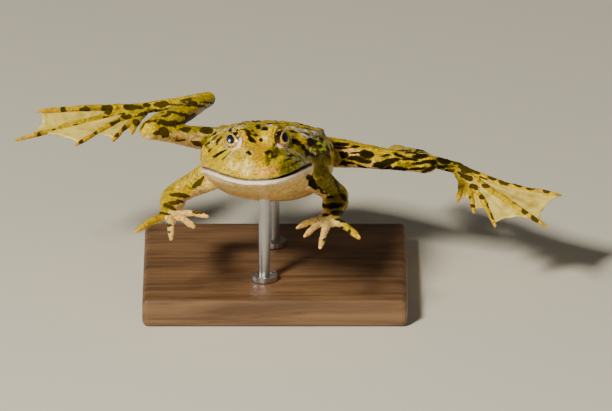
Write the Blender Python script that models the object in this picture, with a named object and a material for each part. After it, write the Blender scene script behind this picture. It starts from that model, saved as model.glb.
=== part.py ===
"""A green water frog at life size, floating with its limbs spread, on a plain display stand.

The frog's head faces -Y and its own left side is at +X. The flesh is modelled whole from
lofted sections, then parted with thin cuts into its named parts. The shapes are worked out in
millimetres from the middle of the mouth line, and each object is placed in metres at the end,
with the origin at the centre of the underside of the stand's base.
"""
import math

import bmesh
import bpy
import numpy as np
from mathutils import Matrix, Vector

METRES = 0.001
GAP = 0.3

# The stand, and where the middle of the mouth line lies over it
BASE_SIZE = Vector((74.0, 64.0, 8.0))
BASE_EDGE = 1.6
BASE_TOP = -44.0
BASE_CENTRE = Vector((4.0, 54.0, BASE_TOP - BASE_SIZE.z))
ROD_RADIUS = 1.6
ROD_COLLAR_RADIUS = 3.6
ROD_COLLAR_HEIGHT = 1.4
ROD_DEPTH = 3.0
ROD_PLACES = {"front": 42.0, "back": 70.0}

# Head, measured back from the snout tip and up from the mouth line in its own frame
HEAD_PITCH = math.radians(9.5)
HEAD_YAW = math.radians(2.0)
HEAD_ROLL = math.radians(1.5)
HEAD_BACK = 30.5
HEAD_STATIONS = (
    # back, half width, top, bottom
    (0.0, 3.0, 3.3, -1.2),
    (1.2, 4.6, 4.6, -1.9),
    (3.0, 6.5, 5.7, -2.6),
    (6.0, 9.0, 6.8, -3.6),
    (10.0, 11.3, 7.8, -4.9),
    (15.0, 13.4, 8.6, -6.4),
    (20.0, 14.6, 9.2, -7.6),
    (27.0, 15.3, 9.6, -8.9),
    (35.0, 15.0, 9.6, -9.9),
)
MOUTH_LINE = ((-4.0, -0.3), (0.0, -0.3), (5.0, 0.1), (11.0, 0.5), (17.0, 0.3), (23.0, -0.5), (27.5, -1.6))
MOUTH_GAP = 0.35
LIP_RADIUS = 0.8
EYE_PLACE = Vector((5.0, 15.2, 7.7))
EYE_RADII = Vector((3.9, 4.2, 3.7))
EYE_GAZE = Vector((0.7, -0.6, 0.38))
LID_THICKNESS = 0.9
LID_OPENING = Vector((3.0, 3.7, 3.4))
LID_OPENING_REACH = 5.1
NOSTRIL_PLACE = Vector((2.4, 4.6, 6.4))
NOSTRIL_RADIUS = 0.45
EAR_PLACE = Vector((13.9, 23.5, 3.2))
EAR_RADIUS = 2.6
EAR_OUTWARD = Vector((0.89, -0.1, 0.45))
EAR_FOLD = (
    Vector((8.6, 19.6, 7.6)),
    Vector((12.2, 22.6, 6.6)),
    Vector((14.6, 26.4, 4.0)),
    Vector((15.2, 28.8, 0.6)),
)
EAR_FOLD_RADIUS = 0.8

# Torso, along its own axis from the neck to the vent
TORSO_START = Vector((0.2, 29.3, -5.0))
TORSO_END = Vector((5.4, 86.5, -23.0))
TORSO_STATIONS = (
    # along, half width, top, bottom
    (-5.0, 13.2, 8.1, -7.6),
    (0.0, 15.2, 9.0, -9.4),
    (8.0, 16.9, 9.4, -11.0),
    (18.0, 17.8, 9.6, -12.0),
    (28.0, 18.0, 9.7, -12.5),
    (38.0, 16.7, 9.5, -12.0),
    (47.0, 13.5, 8.5, -10.2),
    (54.0, 9.8, 6.8, -7.8),
    (59.0, 6.0, 4.4, -5.2),
)
FOLD_PLACE = 0.74
FOLD_RADIUS = 1.1
SECTION_POWER = 2.4
GROIN_PLACE = 27.0
CREASE_PLACE = 52.0

# Joints, and the half widths across and up along each length of limb
JOINTS = {
    "right": {
        "shoulder": Vector((-14.0, 33.0, -11.0)),
        "elbow": Vector((-24.0, 42.6, -19.9)),
        "wrist": Vector((-25.6, 26.0, -19.2)),
        "hip": Vector((-4.1, 77.0, -17.6)),
        "knee": Vector((-31.0, 49.5, -3.4)),
        "ankle": Vector((-15.2, 89.2, -8.2)),
        "foot": Vector((-30.8, 82.0, -8.0)),
    },
    "left": {
        "shoulder": Vector((14.5, 33.0, -11.0)),
        "elbow": Vector((21.5, 45.8, -21.2)),
        "wrist": Vector((19.6, 29.2, -21.4)),
        "hip": Vector((12.9, 77.0, -19.0)),
        "knee": Vector((46.3, 50.3, -13.7)),
        "ankle": Vector((38.0, 92.2, -25.2)),
        "foot": Vector((53.6, 77.4, -24.2)),
    },
}
LIMB_STATIONS = {
    # along, half width, half height
    "upper_arm": ((0.0, 4.3, 4.3), (0.4, 3.8, 3.6), (0.75, 3.3, 3.1), (1.0, 3.1, 2.9)),
    "forearm": ((0.0, 3.0, 2.9), (0.3, 3.6, 3.3), (0.6, 3.2, 2.9), (0.9, 2.5, 2.1), (1.15, 2.4, 1.9)),
    "thigh": ((0.0, 6.2, 4.4), (0.25, 5.9, 3.8), (0.5, 5.0, 3.1), (0.75, 3.8, 2.6), (1.0, 2.9, 2.4)),
    "shank": ((0.0, 3.0, 2.6), (0.25, 4.0, 3.0), (0.5, 3.9, 2.9), (0.75, 2.9, 2.4), (1.0, 2.3, 2.1)),
    "tarsus": ((0.0, 2.3, 2.1), (0.4, 2.0, 1.7), (0.8, 2.1, 1.6), (1.12, 2.3, 1.5)),
}
LIMB_ENDS = {
    "upper_arm": ("shoulder", "elbow"),
    "forearm": ("elbow", "wrist"),
    "thigh": ("hip", "knee"),
    "shank": ("knee", "ankle"),
    "tarsus": ("ankle", "foot"),
}

# Fingers from the wrist and toes from the foot's root: offsets to each tip, first digit first
FINGER_TIPS = {
    "right": (Vector((10.7, -8.3, 1.8)), Vector((7.0, -13.2, 0.6)), Vector((1.0, -21.7, 0.2)),
              Vector((-8.5, -16.6, 0.6))),
    "left": (Vector((-9.3, -12.1, 0.9)), Vector((-7.2, -15.2, -0.4)), Vector((-3.0, -23.1, -0.8)),
             Vector((7.6, -16.1, -0.5))),
}
FINGER_BEND = Vector((0.0, 0.0, 0.7))
TOE_TIPS = {
    "right": (Vector((-5.5, -19.2, -1.1)), Vector((-10.5, -24.9, -1.0)), Vector((-20.6, -30.7, -0.2)),
              Vector((-36.9, -29.0, 0.6)), Vector((-31.0, -20.8, 6.1))),
    "left": (Vector((1.7, -19.7, -3.0)), Vector((6.1, -25.9, -4.1)), Vector((11.7, -34.7, -4.7)),
             Vector((25.6, -39.3, -3.3)), Vector((29.7, -23.7, 0.1))),
}
TOE_BENDS = {
    "right": (Vector((0.0, 0.0, 0.5)),) * 5,
    "left": (Vector((1.3, 0.0, 0.5)), Vector((1.2, 0.0, 0.2)), Vector((1.5, 0.0, 0.0)),
             Vector((0.0, 0.0, 0.0)), Vector((0.0, 0.0, -1.2))),
}
FINGER_RADII = ((0.0, 1.35), (0.35, 1.05), (0.7, 0.9), (1.0, 0.75))
TOE_RADII = ((0.0, 1.4), (0.3, 1.15), (0.7, 0.9), (1.0, 0.7))
PALM_RADII = Vector((3.3, 3.4, 1.8))
PALM_REACH = 3.4
DIGIT_ROOT_REACHES = (2.2, 1.6)
TOE_ROOT_REACHES = (1.6, 0.6)
WEB_THICKNESS = 0.6
WEB_ROOT = 0.22
WEB_INSET = 0.3
# How far the web reaches along each pair of neighbouring toes, first pair first
WEB_REACHES = ((0.95, 0.74), (0.95, 0.74), (0.94, 0.74), (0.84, 0.94))
WEB_SCALLOP = 0.08

# The thin cuts that part the flesh: how far each runs along and to either side of its middle
NECK_CUT = ((-21, 21), 17)
SHOULDER_CUT = ((-13, 16), 13)
SHOULDER_CUT_PLACE = 4.5
SHOULDER_CUT_LEAN = (0.2, 0.41)
HIP_CUT = ((-2.5, 34), 17)
HIP_CUT_SHARE = 1.03
JOINT_CUTS = (
    # joint, the joints before and after it, reach, half height
    ("elbow", "shoulder", "wrist", (-6, 12), 7),
    ("knee", "hip", "ankle", (-8, 30), 10),
    ("ankle", "knee", "foot", (-6, 13), 7),
)
END_CUTS = (("wrist", "elbow"), ("foot", "ankle"))
END_CUT = ((-5, 5), 5)

# Fineness of the solids
VOXEL = 0.55
SMOOTHING = 6
FLESH_TRIANGLES = 4600


def clear_scene():
    for thing in list(bpy.data.objects):
        bpy.data.objects.remove(thing, do_unlink=True)


def material(name, colour, roughness, metallic=0.0):
    made = bpy.data.materials.new(name)
    made.use_nodes = True
    shader = made.node_tree.nodes["Principled BSDF"]
    shader.inputs["Base Color"].default_value = (*colour, 1.0)
    shader.inputs["Roughness"].default_value = roughness
    shader.inputs["Metallic"].default_value = metallic
    return made


def smooth_table(stations, place):
    """Read the columns of a table of stations at any place along it, on a smooth curve."""
    rows = np.array(stations, dtype=float)
    keys = rows[:, 0]
    slopes = np.gradient(rows[:, 1:], keys, axis=0)
    index = int(np.clip(np.searchsorted(keys, place) - 1, 0, len(keys) - 2))
    span = keys[index + 1] - keys[index]
    t = float(np.clip((place - keys[index]) / span, 0.0, 1.0))
    low = rows[index, 1:]
    high = rows[index + 1, 1:]
    return (
        (2 * t**3 - 3 * t**2 + 1) * low
        + (t**3 - 2 * t**2 + t) * span * slopes[index]
        + (3 * t**2 - 2 * t**3) * high
        + (t**3 - t**2) * span * slopes[index + 1]
    )


def loft(bm, rings):
    """Skin closed rings of equal count and close both ends."""
    loops = [[bm.verts.new(point) for point in ring] for ring in rings]
    count = len(loops[0])
    for near, far in zip(loops, loops[1:]):
        for i in range(count):
            j = (i + 1) % count
            bm.faces.new((near[i], near[j], far[j], far[i]))
    for loop, flip in ((loops[0], True), (loops[-1], False)):
        middle = bm.verts.new(sum((v.co for v in loop), Vector()) / count)
        for i in range(count):
            j = (i + 1) % count
            corners = (loop[j], loop[i], middle) if flip else (loop[i], loop[j], middle)
            bm.faces.new(corners)


def limb_axes(direction):
    """Across and up for a section that stands square to a direction."""
    across = direction.cross(Vector((0, 0, 1))).normalized()
    return across, across.cross(direction).normalized()


def tube(bm, points, stations, sides, steps):
    """A tube through points with elliptical sections and rounded ends."""
    points = [Vector(p) for p in points]
    lengths = [0.0]
    for a, b in zip(points, points[1:]):
        lengths.append(lengths[-1] + (b - a).length)
    total = lengths[-1]
    path = [(s / total, *p) for s, p in zip(lengths, points)]
    first, last = stations[0][0], stations[-1][0]
    places = [first + (last - first) * i / steps for i in range(steps + 1)]

    def centre(place):
        if place > 1.0:
            return points[-1] + (points[-1] - points[-2]).normalized() * (place - 1.0) * total
        return Vector(smooth_table(path, place))

    rings = []
    for place in places:
        ahead = centre(min(place + 0.02, max(last, 1.0)))
        behind = centre(max(place - 0.02, 0.0))
        across, up = limb_axes((ahead - behind).normalized())
        half = smooth_table(stations, place)
        rings.append((centre(place), across, up, half[0], half[-1]))
    made = []
    bulge = (0.95, 0.75, 0.4)
    c, across, up, a, b = rings[0]
    back = (rings[0][0] - rings[1][0]).normalized()
    for f in reversed(bulge):
        made.append((c + back * min(a, b) * math.sqrt(1 - f * f), across, up, a * f, b * f))
    made += rings
    c, across, up, a, b = rings[-1]
    out = (rings[-1][0] - rings[-2][0]).normalized()
    for f in bulge:
        made.append((c + out * min(a, b) * math.sqrt(1 - f * f), across, up, a * f, b * f))
    turns = [2 * math.pi * i / sides for i in range(sides)]
    loft(bm, [
        [c + across * a * math.cos(turn) + up * b * math.sin(turn) for turn in turns]
        for c, across, up, a, b in made
    ])


def ellipsoid(bm, centre, radii, turn=Matrix.Identity(3), segments=20, rings=12):
    place = Matrix.Translation(centre) @ turn.to_4x4() @ Matrix.Diagonal((*radii, 1.0))
    bmesh.ops.create_uvsphere(bm, u_segments=segments, v_segments=rings, radius=1.0, matrix=place)


def power(value, exponent):
    return math.copysign(abs(value) ** exponent, value)


def body_ring(centre, across, up, half_width, top, bottom, sides, exponent):
    ring = []
    for i in range(sides):
        turn = 2 * math.pi * i / sides
        x = half_width * power(math.cos(turn), 2 / exponent)
        rise = power(math.sin(turn), 2 / exponent)
        ring.append(centre + across * x + up * rise * (top if rise > 0 else -bottom))
    return ring


def head_matrix():
    turn = (
        Matrix.Rotation(HEAD_YAW, 3, "Z")
        @ Matrix.Rotation(-HEAD_PITCH, 3, "X")
        @ Matrix.Rotation(-HEAD_ROLL, 3, "Y")
    )
    return turn.to_4x4()


def head_point(place, side=1.0):
    return head_matrix() @ Vector((place.x * side, place.y, place.z))


def mouth_height(back):
    return float(smooth_table(MOUTH_LINE, back)[0])


def eye_turn(side):
    """The turn of an eye, its local Z along the gaze and its local Y back along the head."""
    gaze = head_matrix().to_3x3() @ Vector((EYE_GAZE.x * side, EYE_GAZE.y, EYE_GAZE.z)).normalized()
    back = head_matrix().to_3x3() @ Vector((0, 1, 0))
    across = back.cross(gaze).normalized()
    return Matrix((across, gaze.cross(across), gaze)).transposed()


def add_head(bm):
    frame = head_matrix()
    turn = frame.to_3x3()
    rings = []
    last = HEAD_STATIONS[-1][0]
    steps = 28
    for i in range(steps + 1):
        back = last * (i / steps) ** 1.5
        half_width, top, bottom = smooth_table(HEAD_STATIONS, back)
        rings.append(body_ring(
            frame @ Vector((0, back, 0)), turn @ Vector((1, 0, 0)), turn @ Vector((0, 0, 1)),
            half_width, top, bottom, 40, 2.15))
    middle = frame @ Vector((0, -0.7, 1.0))
    loft(bm, [[middle.lerp(point, 0.6) for point in rings[0]]] + rings)


def add_lips(bm):
    """A low roll along each side of the mouth line, from corner to corner."""
    last = MOUTH_LINE[-1][0]
    for rise in (LIP_RADIUS, -LIP_RADIUS):
        points = []
        for i in range(-16, 17):
            back = last * (abs(i) / 16) ** 1.6
            half_width = float(smooth_table(HEAD_STATIONS, back)[0])
            x = math.copysign(half_width - 0.45, i) if i else 0.0
            place = Vector((x, back, mouth_height(back) + rise))
            if abs(i) < 3:
                place.x = i * half_width / 3.2
                place.y = 0.2 + 0.12 * i * i
            points.append(head_matrix() @ place)
        tube(bm, points, ((0.0, LIP_RADIUS, LIP_RADIUS), (1.0, LIP_RADIUS, LIP_RADIUS)), 8, 40)


def add_orbits(bm):
    for side in (-1, 1):
        centre = EYE_PLACE + Vector((-0.5, 0.3, 0.0))
        radii = EYE_RADII + Vector((1, 1, 1)) * LID_THICKNESS
        ellipsoid(bm, head_point(centre, side), radii, head_matrix().to_3x3(), 24, 16)


def torso_frame():
    along = (TORSO_END - TORSO_START).normalized()
    across = along.cross(Vector((0, 0, 1))).normalized()
    return along, across, across.cross(along).normalized()


def torso_point(distance, across_share=0.0, up_share=0.0):
    """A point in the torso, as shares of its half width and of its height at a distance."""
    along, across, up = torso_frame()
    half_width, top, bottom = smooth_table(TORSO_STATIONS, distance)
    rise = up_share * (top if up_share > 0 else -bottom)
    return TORSO_START + along * distance + across * across_share * half_width + up * rise


def add_torso(bm):
    along, across, up = torso_frame()
    first, last = TORSO_STATIONS[0][0], TORSO_STATIONS[-1][0]
    steps = 26
    rings = []
    for i in range(steps + 1):
        distance = first + (last - first) * i / steps
        half_width, top, bottom = smooth_table(TORSO_STATIONS, distance)
        rings.append(body_ring(TORSO_START + along * distance, across, up,
                               half_width, top, bottom, 40, SECTION_POWER))
    vent = TORSO_START + along * (last + 3.0)
    rings.append([vent.lerp(point, 0.45) for point in rings[-1]])
    loft(bm, rings)


def add_folds(bm):
    """The two ridges that run from behind the eyes to the hips, and the short one over each ear."""
    for side in (-1, 1):
        over_ear = [head_point(place, side) for place in EAR_FOLD]
        tube(bm, over_ear, ((0.0, EAR_FOLD_RADIUS), (1.0, EAR_FOLD_RADIUS)), 8, 16)
        points = []
        for i in range(9):
            distance = -2.0 + 50.0 * i / 8
            rise = (1 - FOLD_PLACE**SECTION_POWER) ** (1 / SECTION_POWER)
            points.append(torso_point(distance, side * FOLD_PLACE, rise - 0.03))
        tube(bm, points, ((0.0, 0.6, 0.5), (0.2, FOLD_RADIUS, 0.9), (0.8, FOLD_RADIUS, 0.9), (1.0, 0.6, 0.5)),
             8, 24)


def add_limbs(bm):
    for side, joints in JOINTS.items():
        for limb, (start, end) in LIMB_ENDS.items():
            near, far = joints[start], joints[end]
            tube(bm, (near, near.lerp(far, 0.5), far), LIMB_STATIONS[limb], 20, 14)


def new_object(name, bm):
    bmesh.ops.recalc_face_normals(bm, faces=bm.faces)
    mesh = bpy.data.meshes.new(name)
    bm.to_mesh(mesh)
    bm.free()
    made = bpy.data.objects.new(name, mesh)
    bpy.context.scene.collection.objects.link(made)
    return made


def apply_modifiers(thing):
    bpy.context.view_layer.update()
    graph = bpy.context.evaluated_depsgraph_get()
    mesh = bpy.data.meshes.new_from_object(thing.evaluated_get(graph))
    thing.modifiers.clear()
    thing.data = mesh


def boolean(thing, others, operation):
    """Join or cut with a collection of closed meshes, which are removed afterwards."""
    group = bpy.data.collections.new("operands")
    bpy.context.scene.collection.children.link(group)
    for other in others:
        group.objects.link(other)
    modifier = thing.modifiers.new("Boolean", "BOOLEAN")
    modifier.operation = operation
    modifier.solver = "EXACT"
    modifier.operand_type = "COLLECTION"
    modifier.collection = group
    apply_modifiers(thing)
    for other in others:
        bpy.data.objects.remove(other, do_unlink=True)
    bpy.data.collections.remove(group)


def pieces_of(thing):
    """Each closed surface of a mesh as its own bmesh, largest first."""
    whole = bmesh.new()
    whole.from_mesh(thing.data)
    bmesh.ops.triangulate(whole, faces=whole.faces)
    bmesh.ops.dissolve_degenerate(whole, edges=whole.edges, dist=0.0005)
    bmesh.ops.triangulate(whole, faces=whole.faces)
    whole.verts.ensure_lookup_table()
    seen = set()
    found = []
    for start in whole.verts:
        if start in seen:
            continue
        seen.add(start)
        stack = [start]
        group = []
        while stack:
            vert = stack.pop()
            group.append(vert)
            for edge in vert.link_edges:
                other = edge.other_vert(vert)
                if other not in seen:
                    seen.add(other)
                    stack.append(other)
        piece = bmesh.new()
        copies = {v: piece.verts.new(v.co) for v in group}
        faces = {f for v in group for f in v.link_faces}
        for face in sorted(faces, key=lambda f: f.index):
            corners = [copies[v] for v in face.verts]
            if not piece.faces.get(corners):
                piece.faces.new(corners)
        found.append(piece)
    whole.free()
    found.sort(key=lambda b: b.calc_volume(), reverse=True)
    return found


def keep_largest(thing):
    found = pieces_of(thing)
    found[0].to_mesh(thing.data)
    for piece in found:
        piece.free()


def slab(centre, normal, along, reach, half_height):
    """A thin plate for parting: it runs from reach[0] to reach[1] along a direction."""
    normal = normal.normalized()
    along = (along - normal * along.dot(normal)).normalized()
    aside = normal.cross(along)
    bm = bmesh.new()
    middle = centre + along * (reach[0] + reach[1]) / 2
    turn = Matrix((along, aside, normal)).transposed().to_4x4()
    size = Matrix.Diagonal((reach[1] - reach[0], half_height * 2, GAP, 1.0))
    bmesh.ops.create_cube(bm, size=1.0, matrix=Matrix.Translation(middle) @ turn @ size)
    return new_object("slab", bm)


def mouth_cutter():
    """A thin bent sheet that follows the mouth line back to its corners and then drops."""
    frame = head_matrix()
    path = [Vector((0, back, rise)) for back, rise in MOUTH_LINE]
    path += [Vector((0, MOUTH_LINE[-1][0] + 1.2, -4.0)), Vector((0, MOUTH_LINE[-1][0] + 1.5, -16.0))]
    rings = []
    for i, point in enumerate(path):
        ahead = path[min(i + 1, len(path) - 1)]
        behind = path[max(i - 1, 0)]
        normal = Vector((1, 0, 0)).cross(ahead - behind).normalized() * MOUTH_GAP / 2
        ring = []
        for x, offset in ((-22, -1), (22, -1), (22, 1), (-22, 1)):
            ring.append(frame @ (Vector((x, 0, 0)) + point + normal * offset))
        rings.append(ring)
    bm = bmesh.new()
    loft(bm, rings)
    return new_object("mouth", bm)


def parting_cutters():
    cutters = [mouth_cutter()]
    turn = head_matrix().to_3x3()
    neck = head_matrix() @ Vector((0, HEAD_BACK, 0))
    cutters.append(slab(neck, turn @ Vector((0, 1, 0)), turn @ Vector((1, 0, 0)), *NECK_CUT))
    along, across, up = torso_frame()
    for side, joints in JOINTS.items():
        sign = -1 if side == "right" else 1
        arm = joints["elbow"] - joints["shoulder"]
        shoulder = joints["shoulder"] + arm.normalized() * SHOULDER_CUT_PLACE
        flank = along + across * sign * SHOULDER_CUT_LEAN[0]
        lean = up + across * sign * SHOULDER_CUT_LEAN[1]
        cutters.append(slab(shoulder, flank.cross(lean), flank, *SHOULDER_CUT))
        groin = torso_point(GROIN_PLACE, sign * HIP_CUT_SHARE)
        crease = torso_point(CREASE_PLACE, sign * HIP_CUT_SHARE)
        cutters.append(slab(groin, (crease - groin).cross(up), crease - groin, *HIP_CUT))
        for joint, near, far, reach, half_height in JOINT_CUTS:
            a = (joints[near] - joints[joint]).normalized()
            b = (joints[far] - joints[joint]).normalized()
            cutters.append(slab(joints[joint], a - b, a + b, reach, half_height))
        for joint, before in END_CUTS:
            direction = joints[joint] - joints[before]
            cutters.append(slab(joints[joint], direction, across, *END_CUT))
    return cutters


def flesh():
    bm = bmesh.new()
    add_head(bm)
    add_lips(bm)
    add_orbits(bm)
    add_torso(bm)
    add_folds(bm)
    add_limbs(bm)
    body = new_object("flesh", bm)
    remesh = body.modifiers.new("Remesh", "REMESH")
    remesh.mode = "VOXEL"
    remesh.voxel_size = VOXEL
    smooth = body.modifiers.new("Smooth", "SMOOTH")
    smooth.factor = 0.5
    smooth.iterations = SMOOTHING
    apply_modifiers(body)
    decimate = body.modifiers.new("Decimate", "DECIMATE")
    decimate.ratio = FLESH_TRIANGLES / (2 * len(body.data.polygons))
    apply_modifiers(body)
    keep_largest(body)
    return body


def part_flesh(body):
    """Cut the flesh and name each piece by the middle of the part it holds."""
    boolean(body, parting_cutters(), "DIFFERENCE")
    middles = {
        "head": head_matrix() @ Vector((0, 18, 4)),
        "lower_jaw": head_matrix() @ Vector((0, 17, -4)),
        "torso": torso_point(28.0),
    }
    for side, joints in JOINTS.items():
        for limb, (start, end) in LIMB_ENDS.items():
            middles[f"{limb}_{side}"] = joints[start].lerp(joints[end], 0.6)
    parts = {}
    for piece in pieces_of(body):
        centre = sum((v.co for v in piece.verts), Vector()) / len(piece.verts)
        name = min(middles, key=lambda n: (middles[n] - centre).length)
        if name in parts:
            piece.free()
            continue
        parts[name] = new_object(name, piece)
    bpy.data.objects.remove(body, do_unlink=True)
    return parts


def finger_paths(side):
    """The middle of the palm, and the path of each finger from it: root, bend and tip."""
    wrist = JOINTS[side]["wrist"]
    spread = sum((offset.normalized() for offset in FINGER_TIPS[side]), Vector()).normalized()
    paths = []
    for offset in FINGER_TIPS[side]:
        root = wrist + spread * DIGIT_ROOT_REACHES[0] + offset.normalized() * DIGIT_ROOT_REACHES[1]
        tip = wrist + offset
        paths.append((root, root.lerp(tip, 0.5) + FINGER_BEND, tip))
    return wrist + spread * PALM_REACH, paths


def toe_paths(side):
    base = JOINTS[side]["foot"]
    forward = (base - JOINTS[side]["ankle"]).normalized()
    paths = []
    for offset, bend in zip(TOE_TIPS[side], TOE_BENDS[side]):
        root = base + forward * TOE_ROOT_REACHES[0] + offset.normalized() * TOE_ROOT_REACHES[1]
        tip = base + offset
        paths.append((root, root.lerp(tip, 0.5) + bend, tip))
    return paths


def path_point(path, place):
    return Vector(smooth_table(((0.0, *path[0]), (0.5, *path[1]), (1.0, *path[2])), place))


def digit(path, radii, sides, steps):
    bm = bmesh.new()
    tube(bm, path, radii, sides, steps)
    return new_object("digit", bm)


def limb_stub(start, end, stations, from_place, to_place):
    """A short length of limb between two planes square to it."""
    across, up = limb_axes((end - start).normalized())
    rings = []
    for place in (from_place, (from_place + to_place) / 2, to_place):
        half = smooth_table(stations, place)
        centre = start + (end - start) * place
        rings.append([
            centre + across * half[0] * math.cos(math.pi * i / 8) + up * half[1] * math.sin(math.pi * i / 8)
            for i in range(16)
        ])
    bm = bmesh.new()
    loft(bm, rings)
    return new_object("stub", bm)


def hand(side):
    joints = JOINTS[side]
    elbow, wrist = joints["elbow"], joints["wrist"]
    length = (wrist - elbow).length
    made = limb_stub(elbow, wrist, LIMB_STATIONS["forearm"], 1.0 + GAP / length, 1.15)
    middle, paths = finger_paths(side)
    palm = bmesh.new()
    ellipsoid(palm, middle, PALM_RADII, Matrix.Identity(3), 14, 8)
    others = [new_object("palm", palm)]
    others += [digit(path, FINGER_RADII, 7, 5) for path in paths]
    boolean(made, others, "UNION")
    made.name = f"hand_{side}"
    keep_largest(made)
    return made


def web(path_a, path_b, reaches):
    """The skin between two toes: a thin curved plate, split alike on both faces."""
    steps, columns = 7, 4
    faces = {}
    bm = bmesh.new()
    for i in range(steps + 1):
        for j in range(columns + 1):
            share = j / columns
            scallop = WEB_SCALLOP * 4 * share * (1 - share)
            reach = reaches[0] + (reaches[1] - reaches[0]) * share - scallop
            place = WEB_ROOT + (reach - WEB_ROOT) * i / steps
            a = path_point(path_a, place)
            b = path_point(path_b, place)
            inset = WEB_INSET / (b - a).length
            point = a.lerp(b, inset + (1 - 2 * inset) * share)
            for level in (-1, 1):
                faces[i, j, level] = bm.verts.new(point + Vector((0, 0, level * WEB_THICKNESS / 2)))
    for level in (-1, 1):
        for i in range(steps):
            for j in range(columns):
                a, b = faces[i, j, level], faces[i, j + 1, level]
                c, d = faces[i + 1, j + 1, level], faces[i + 1, j, level]
                bm.faces.new((a, b, c))
                bm.faces.new((a, c, d))
    edge = [(i, 0) for i in range(steps)] + [(steps, j) for j in range(columns)]
    edge += [(i, columns) for i in range(steps, 0, -1)] + [(0, j) for j in range(columns, 0, -1)]
    for here, there in zip(edge, edge[1:] + edge[:1]):
        bm.faces.new((faces[*here, -1], faces[*there, -1], faces[*there, 1], faces[*here, 1]))
    return new_object("web", bm)


def foot(side):
    joints = JOINTS[side]
    ankle, base = joints["ankle"], joints["foot"]
    length = (base - ankle).length
    made = limb_stub(ankle, base, LIMB_STATIONS["tarsus"], 1.0 + GAP / length, 1.15)
    paths = toe_paths(side)
    others = [digit(path, TOE_RADII, 7, 7) for path in paths]
    others += [web(a, b, reaches) for a, b, reaches in zip(paths, paths[1:], WEB_REACHES)]
    boolean(made, others, "UNION")
    made.name = f"foot_{side}"
    keep_largest(made)
    return made


def eye(side):
    sign = -1 if side == "right" else 1
    bm = bmesh.new()
    ellipsoid(bm, head_point(EYE_PLACE, sign), EYE_RADII, head_matrix().to_3x3(), 16, 10)
    return new_object(f"eye_{side}", bm)


def dress_head(head):
    """Open the lids over the eyes, sink the ears and pierce the nostrils."""
    cutters = []
    turn = head_matrix().to_3x3()
    for sign in (-1, 1):
        socket = bmesh.new()
        ellipsoid(socket, head_point(EYE_PLACE, sign), EYE_RADII + Vector((1, 1, 1)) * GAP, turn, 16, 10)
        cutters.append(new_object("socket", socket))
        window = bmesh.new()
        spin = eye_turn(sign)
        place = head_point(EYE_PLACE, sign) + spin @ Vector((0, 0, LID_OPENING_REACH))
        ellipsoid(window, place, LID_OPENING, spin, 20, 12)
        cutters.append(new_object("window", window))
        outward = turn @ Vector((EAR_OUTWARD.x * sign, EAR_OUTWARD.y, EAR_OUTWARD.z)).normalized()
        place = head_point(EAR_PLACE, sign) + outward * EAR_RADIUS
        stance = outward.to_track_quat("Z", "Y").to_matrix().to_4x4()
        ear = bmesh.new()
        bmesh.ops.create_cone(ear, cap_ends=True, segments=16, radius1=EAR_RADIUS, radius2=EAR_RADIUS,
                              depth=EAR_RADIUS * 2, matrix=Matrix.Translation(place) @ stance)
        cutters.append(new_object("ear", ear))
        nostril = bmesh.new()
        place = head_point(NOSTRIL_PLACE, sign)
        ellipsoid(nostril, place, (NOSTRIL_RADIUS, NOSTRIL_RADIUS * 1.5, 1.0), turn, 10, 6)
        cutters.append(new_object("nostril", nostril))
    boolean(head, cutters, "DIFFERENCE")
    keep_largest(head)


def rod_span(distance):
    """The rod's place, and the height of its top in the belly."""
    low = torso_point(distance, 0.0, -1.0)
    return low.x, low.y, low.z + ROD_DEPTH


def rod_solid(x, y, bottom, top, radius, sides=18):
    bm = bmesh.new()
    place = Matrix.Translation((x, y, (bottom + top) / 2))
    bmesh.ops.create_cone(bm, cap_ends=True, segments=sides, radius1=radius, radius2=radius,
                          depth=top - bottom, matrix=place)
    return new_object("rod", bm)


def stand(torso):
    size = BASE_SIZE
    bm = bmesh.new()
    place = Matrix.Translation(BASE_CENTRE + Vector((0, 0, size.z / 2)))
    bmesh.ops.create_cube(bm, size=1.0, matrix=place @ Matrix.Diagonal((*size, 1.0)))
    base = new_object("stand_base", bm)
    bevel = base.modifiers.new("Bevel", "BEVEL")
    bevel.width = BASE_EDGE
    bevel.segments = 3
    apply_modifiers(base)
    made = {"stand_base": base}
    holes = []
    for name, y_place in ROD_PLACES.items():
        distance = (y_place - TORSO_START.y) / torso_frame()[0].y
        x, y, top = rod_span(distance)
        rod = rod_solid(x, y, BASE_TOP + GAP, top, ROD_RADIUS)
        collar = rod_solid(x, y, BASE_TOP + GAP, BASE_TOP + GAP + ROD_COLLAR_HEIGHT, ROD_COLLAR_RADIUS)
        boolean(rod, [collar], "UNION")
        rod.name = f"stand_rod_{name}"
        made[rod.name] = rod
        holes.append(rod_solid(x, y, BASE_TOP + 2, top + GAP, ROD_RADIUS + GAP))
    boolean(torso, holes, "DIFFERENCE")
    keep_largest(torso)
    return made


def place_in_metres(thing):
    """Triangulate, scale to metres and set the origin under the middle of the base."""
    bm = bmesh.new()
    bm.from_mesh(thing.data)
    bmesh.ops.triangulate(bm, faces=bm.faces)
    for vert in bm.verts:
        vert.co = (vert.co - BASE_CENTRE) * METRES
    bmesh.ops.recalc_face_normals(bm, faces=bm.faces)
    bm.to_mesh(thing.data)
    bm.free()
    thing.data.shade_smooth()
    thing.data.set_sharp_from_angle(angle=math.radians(40))


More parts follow.
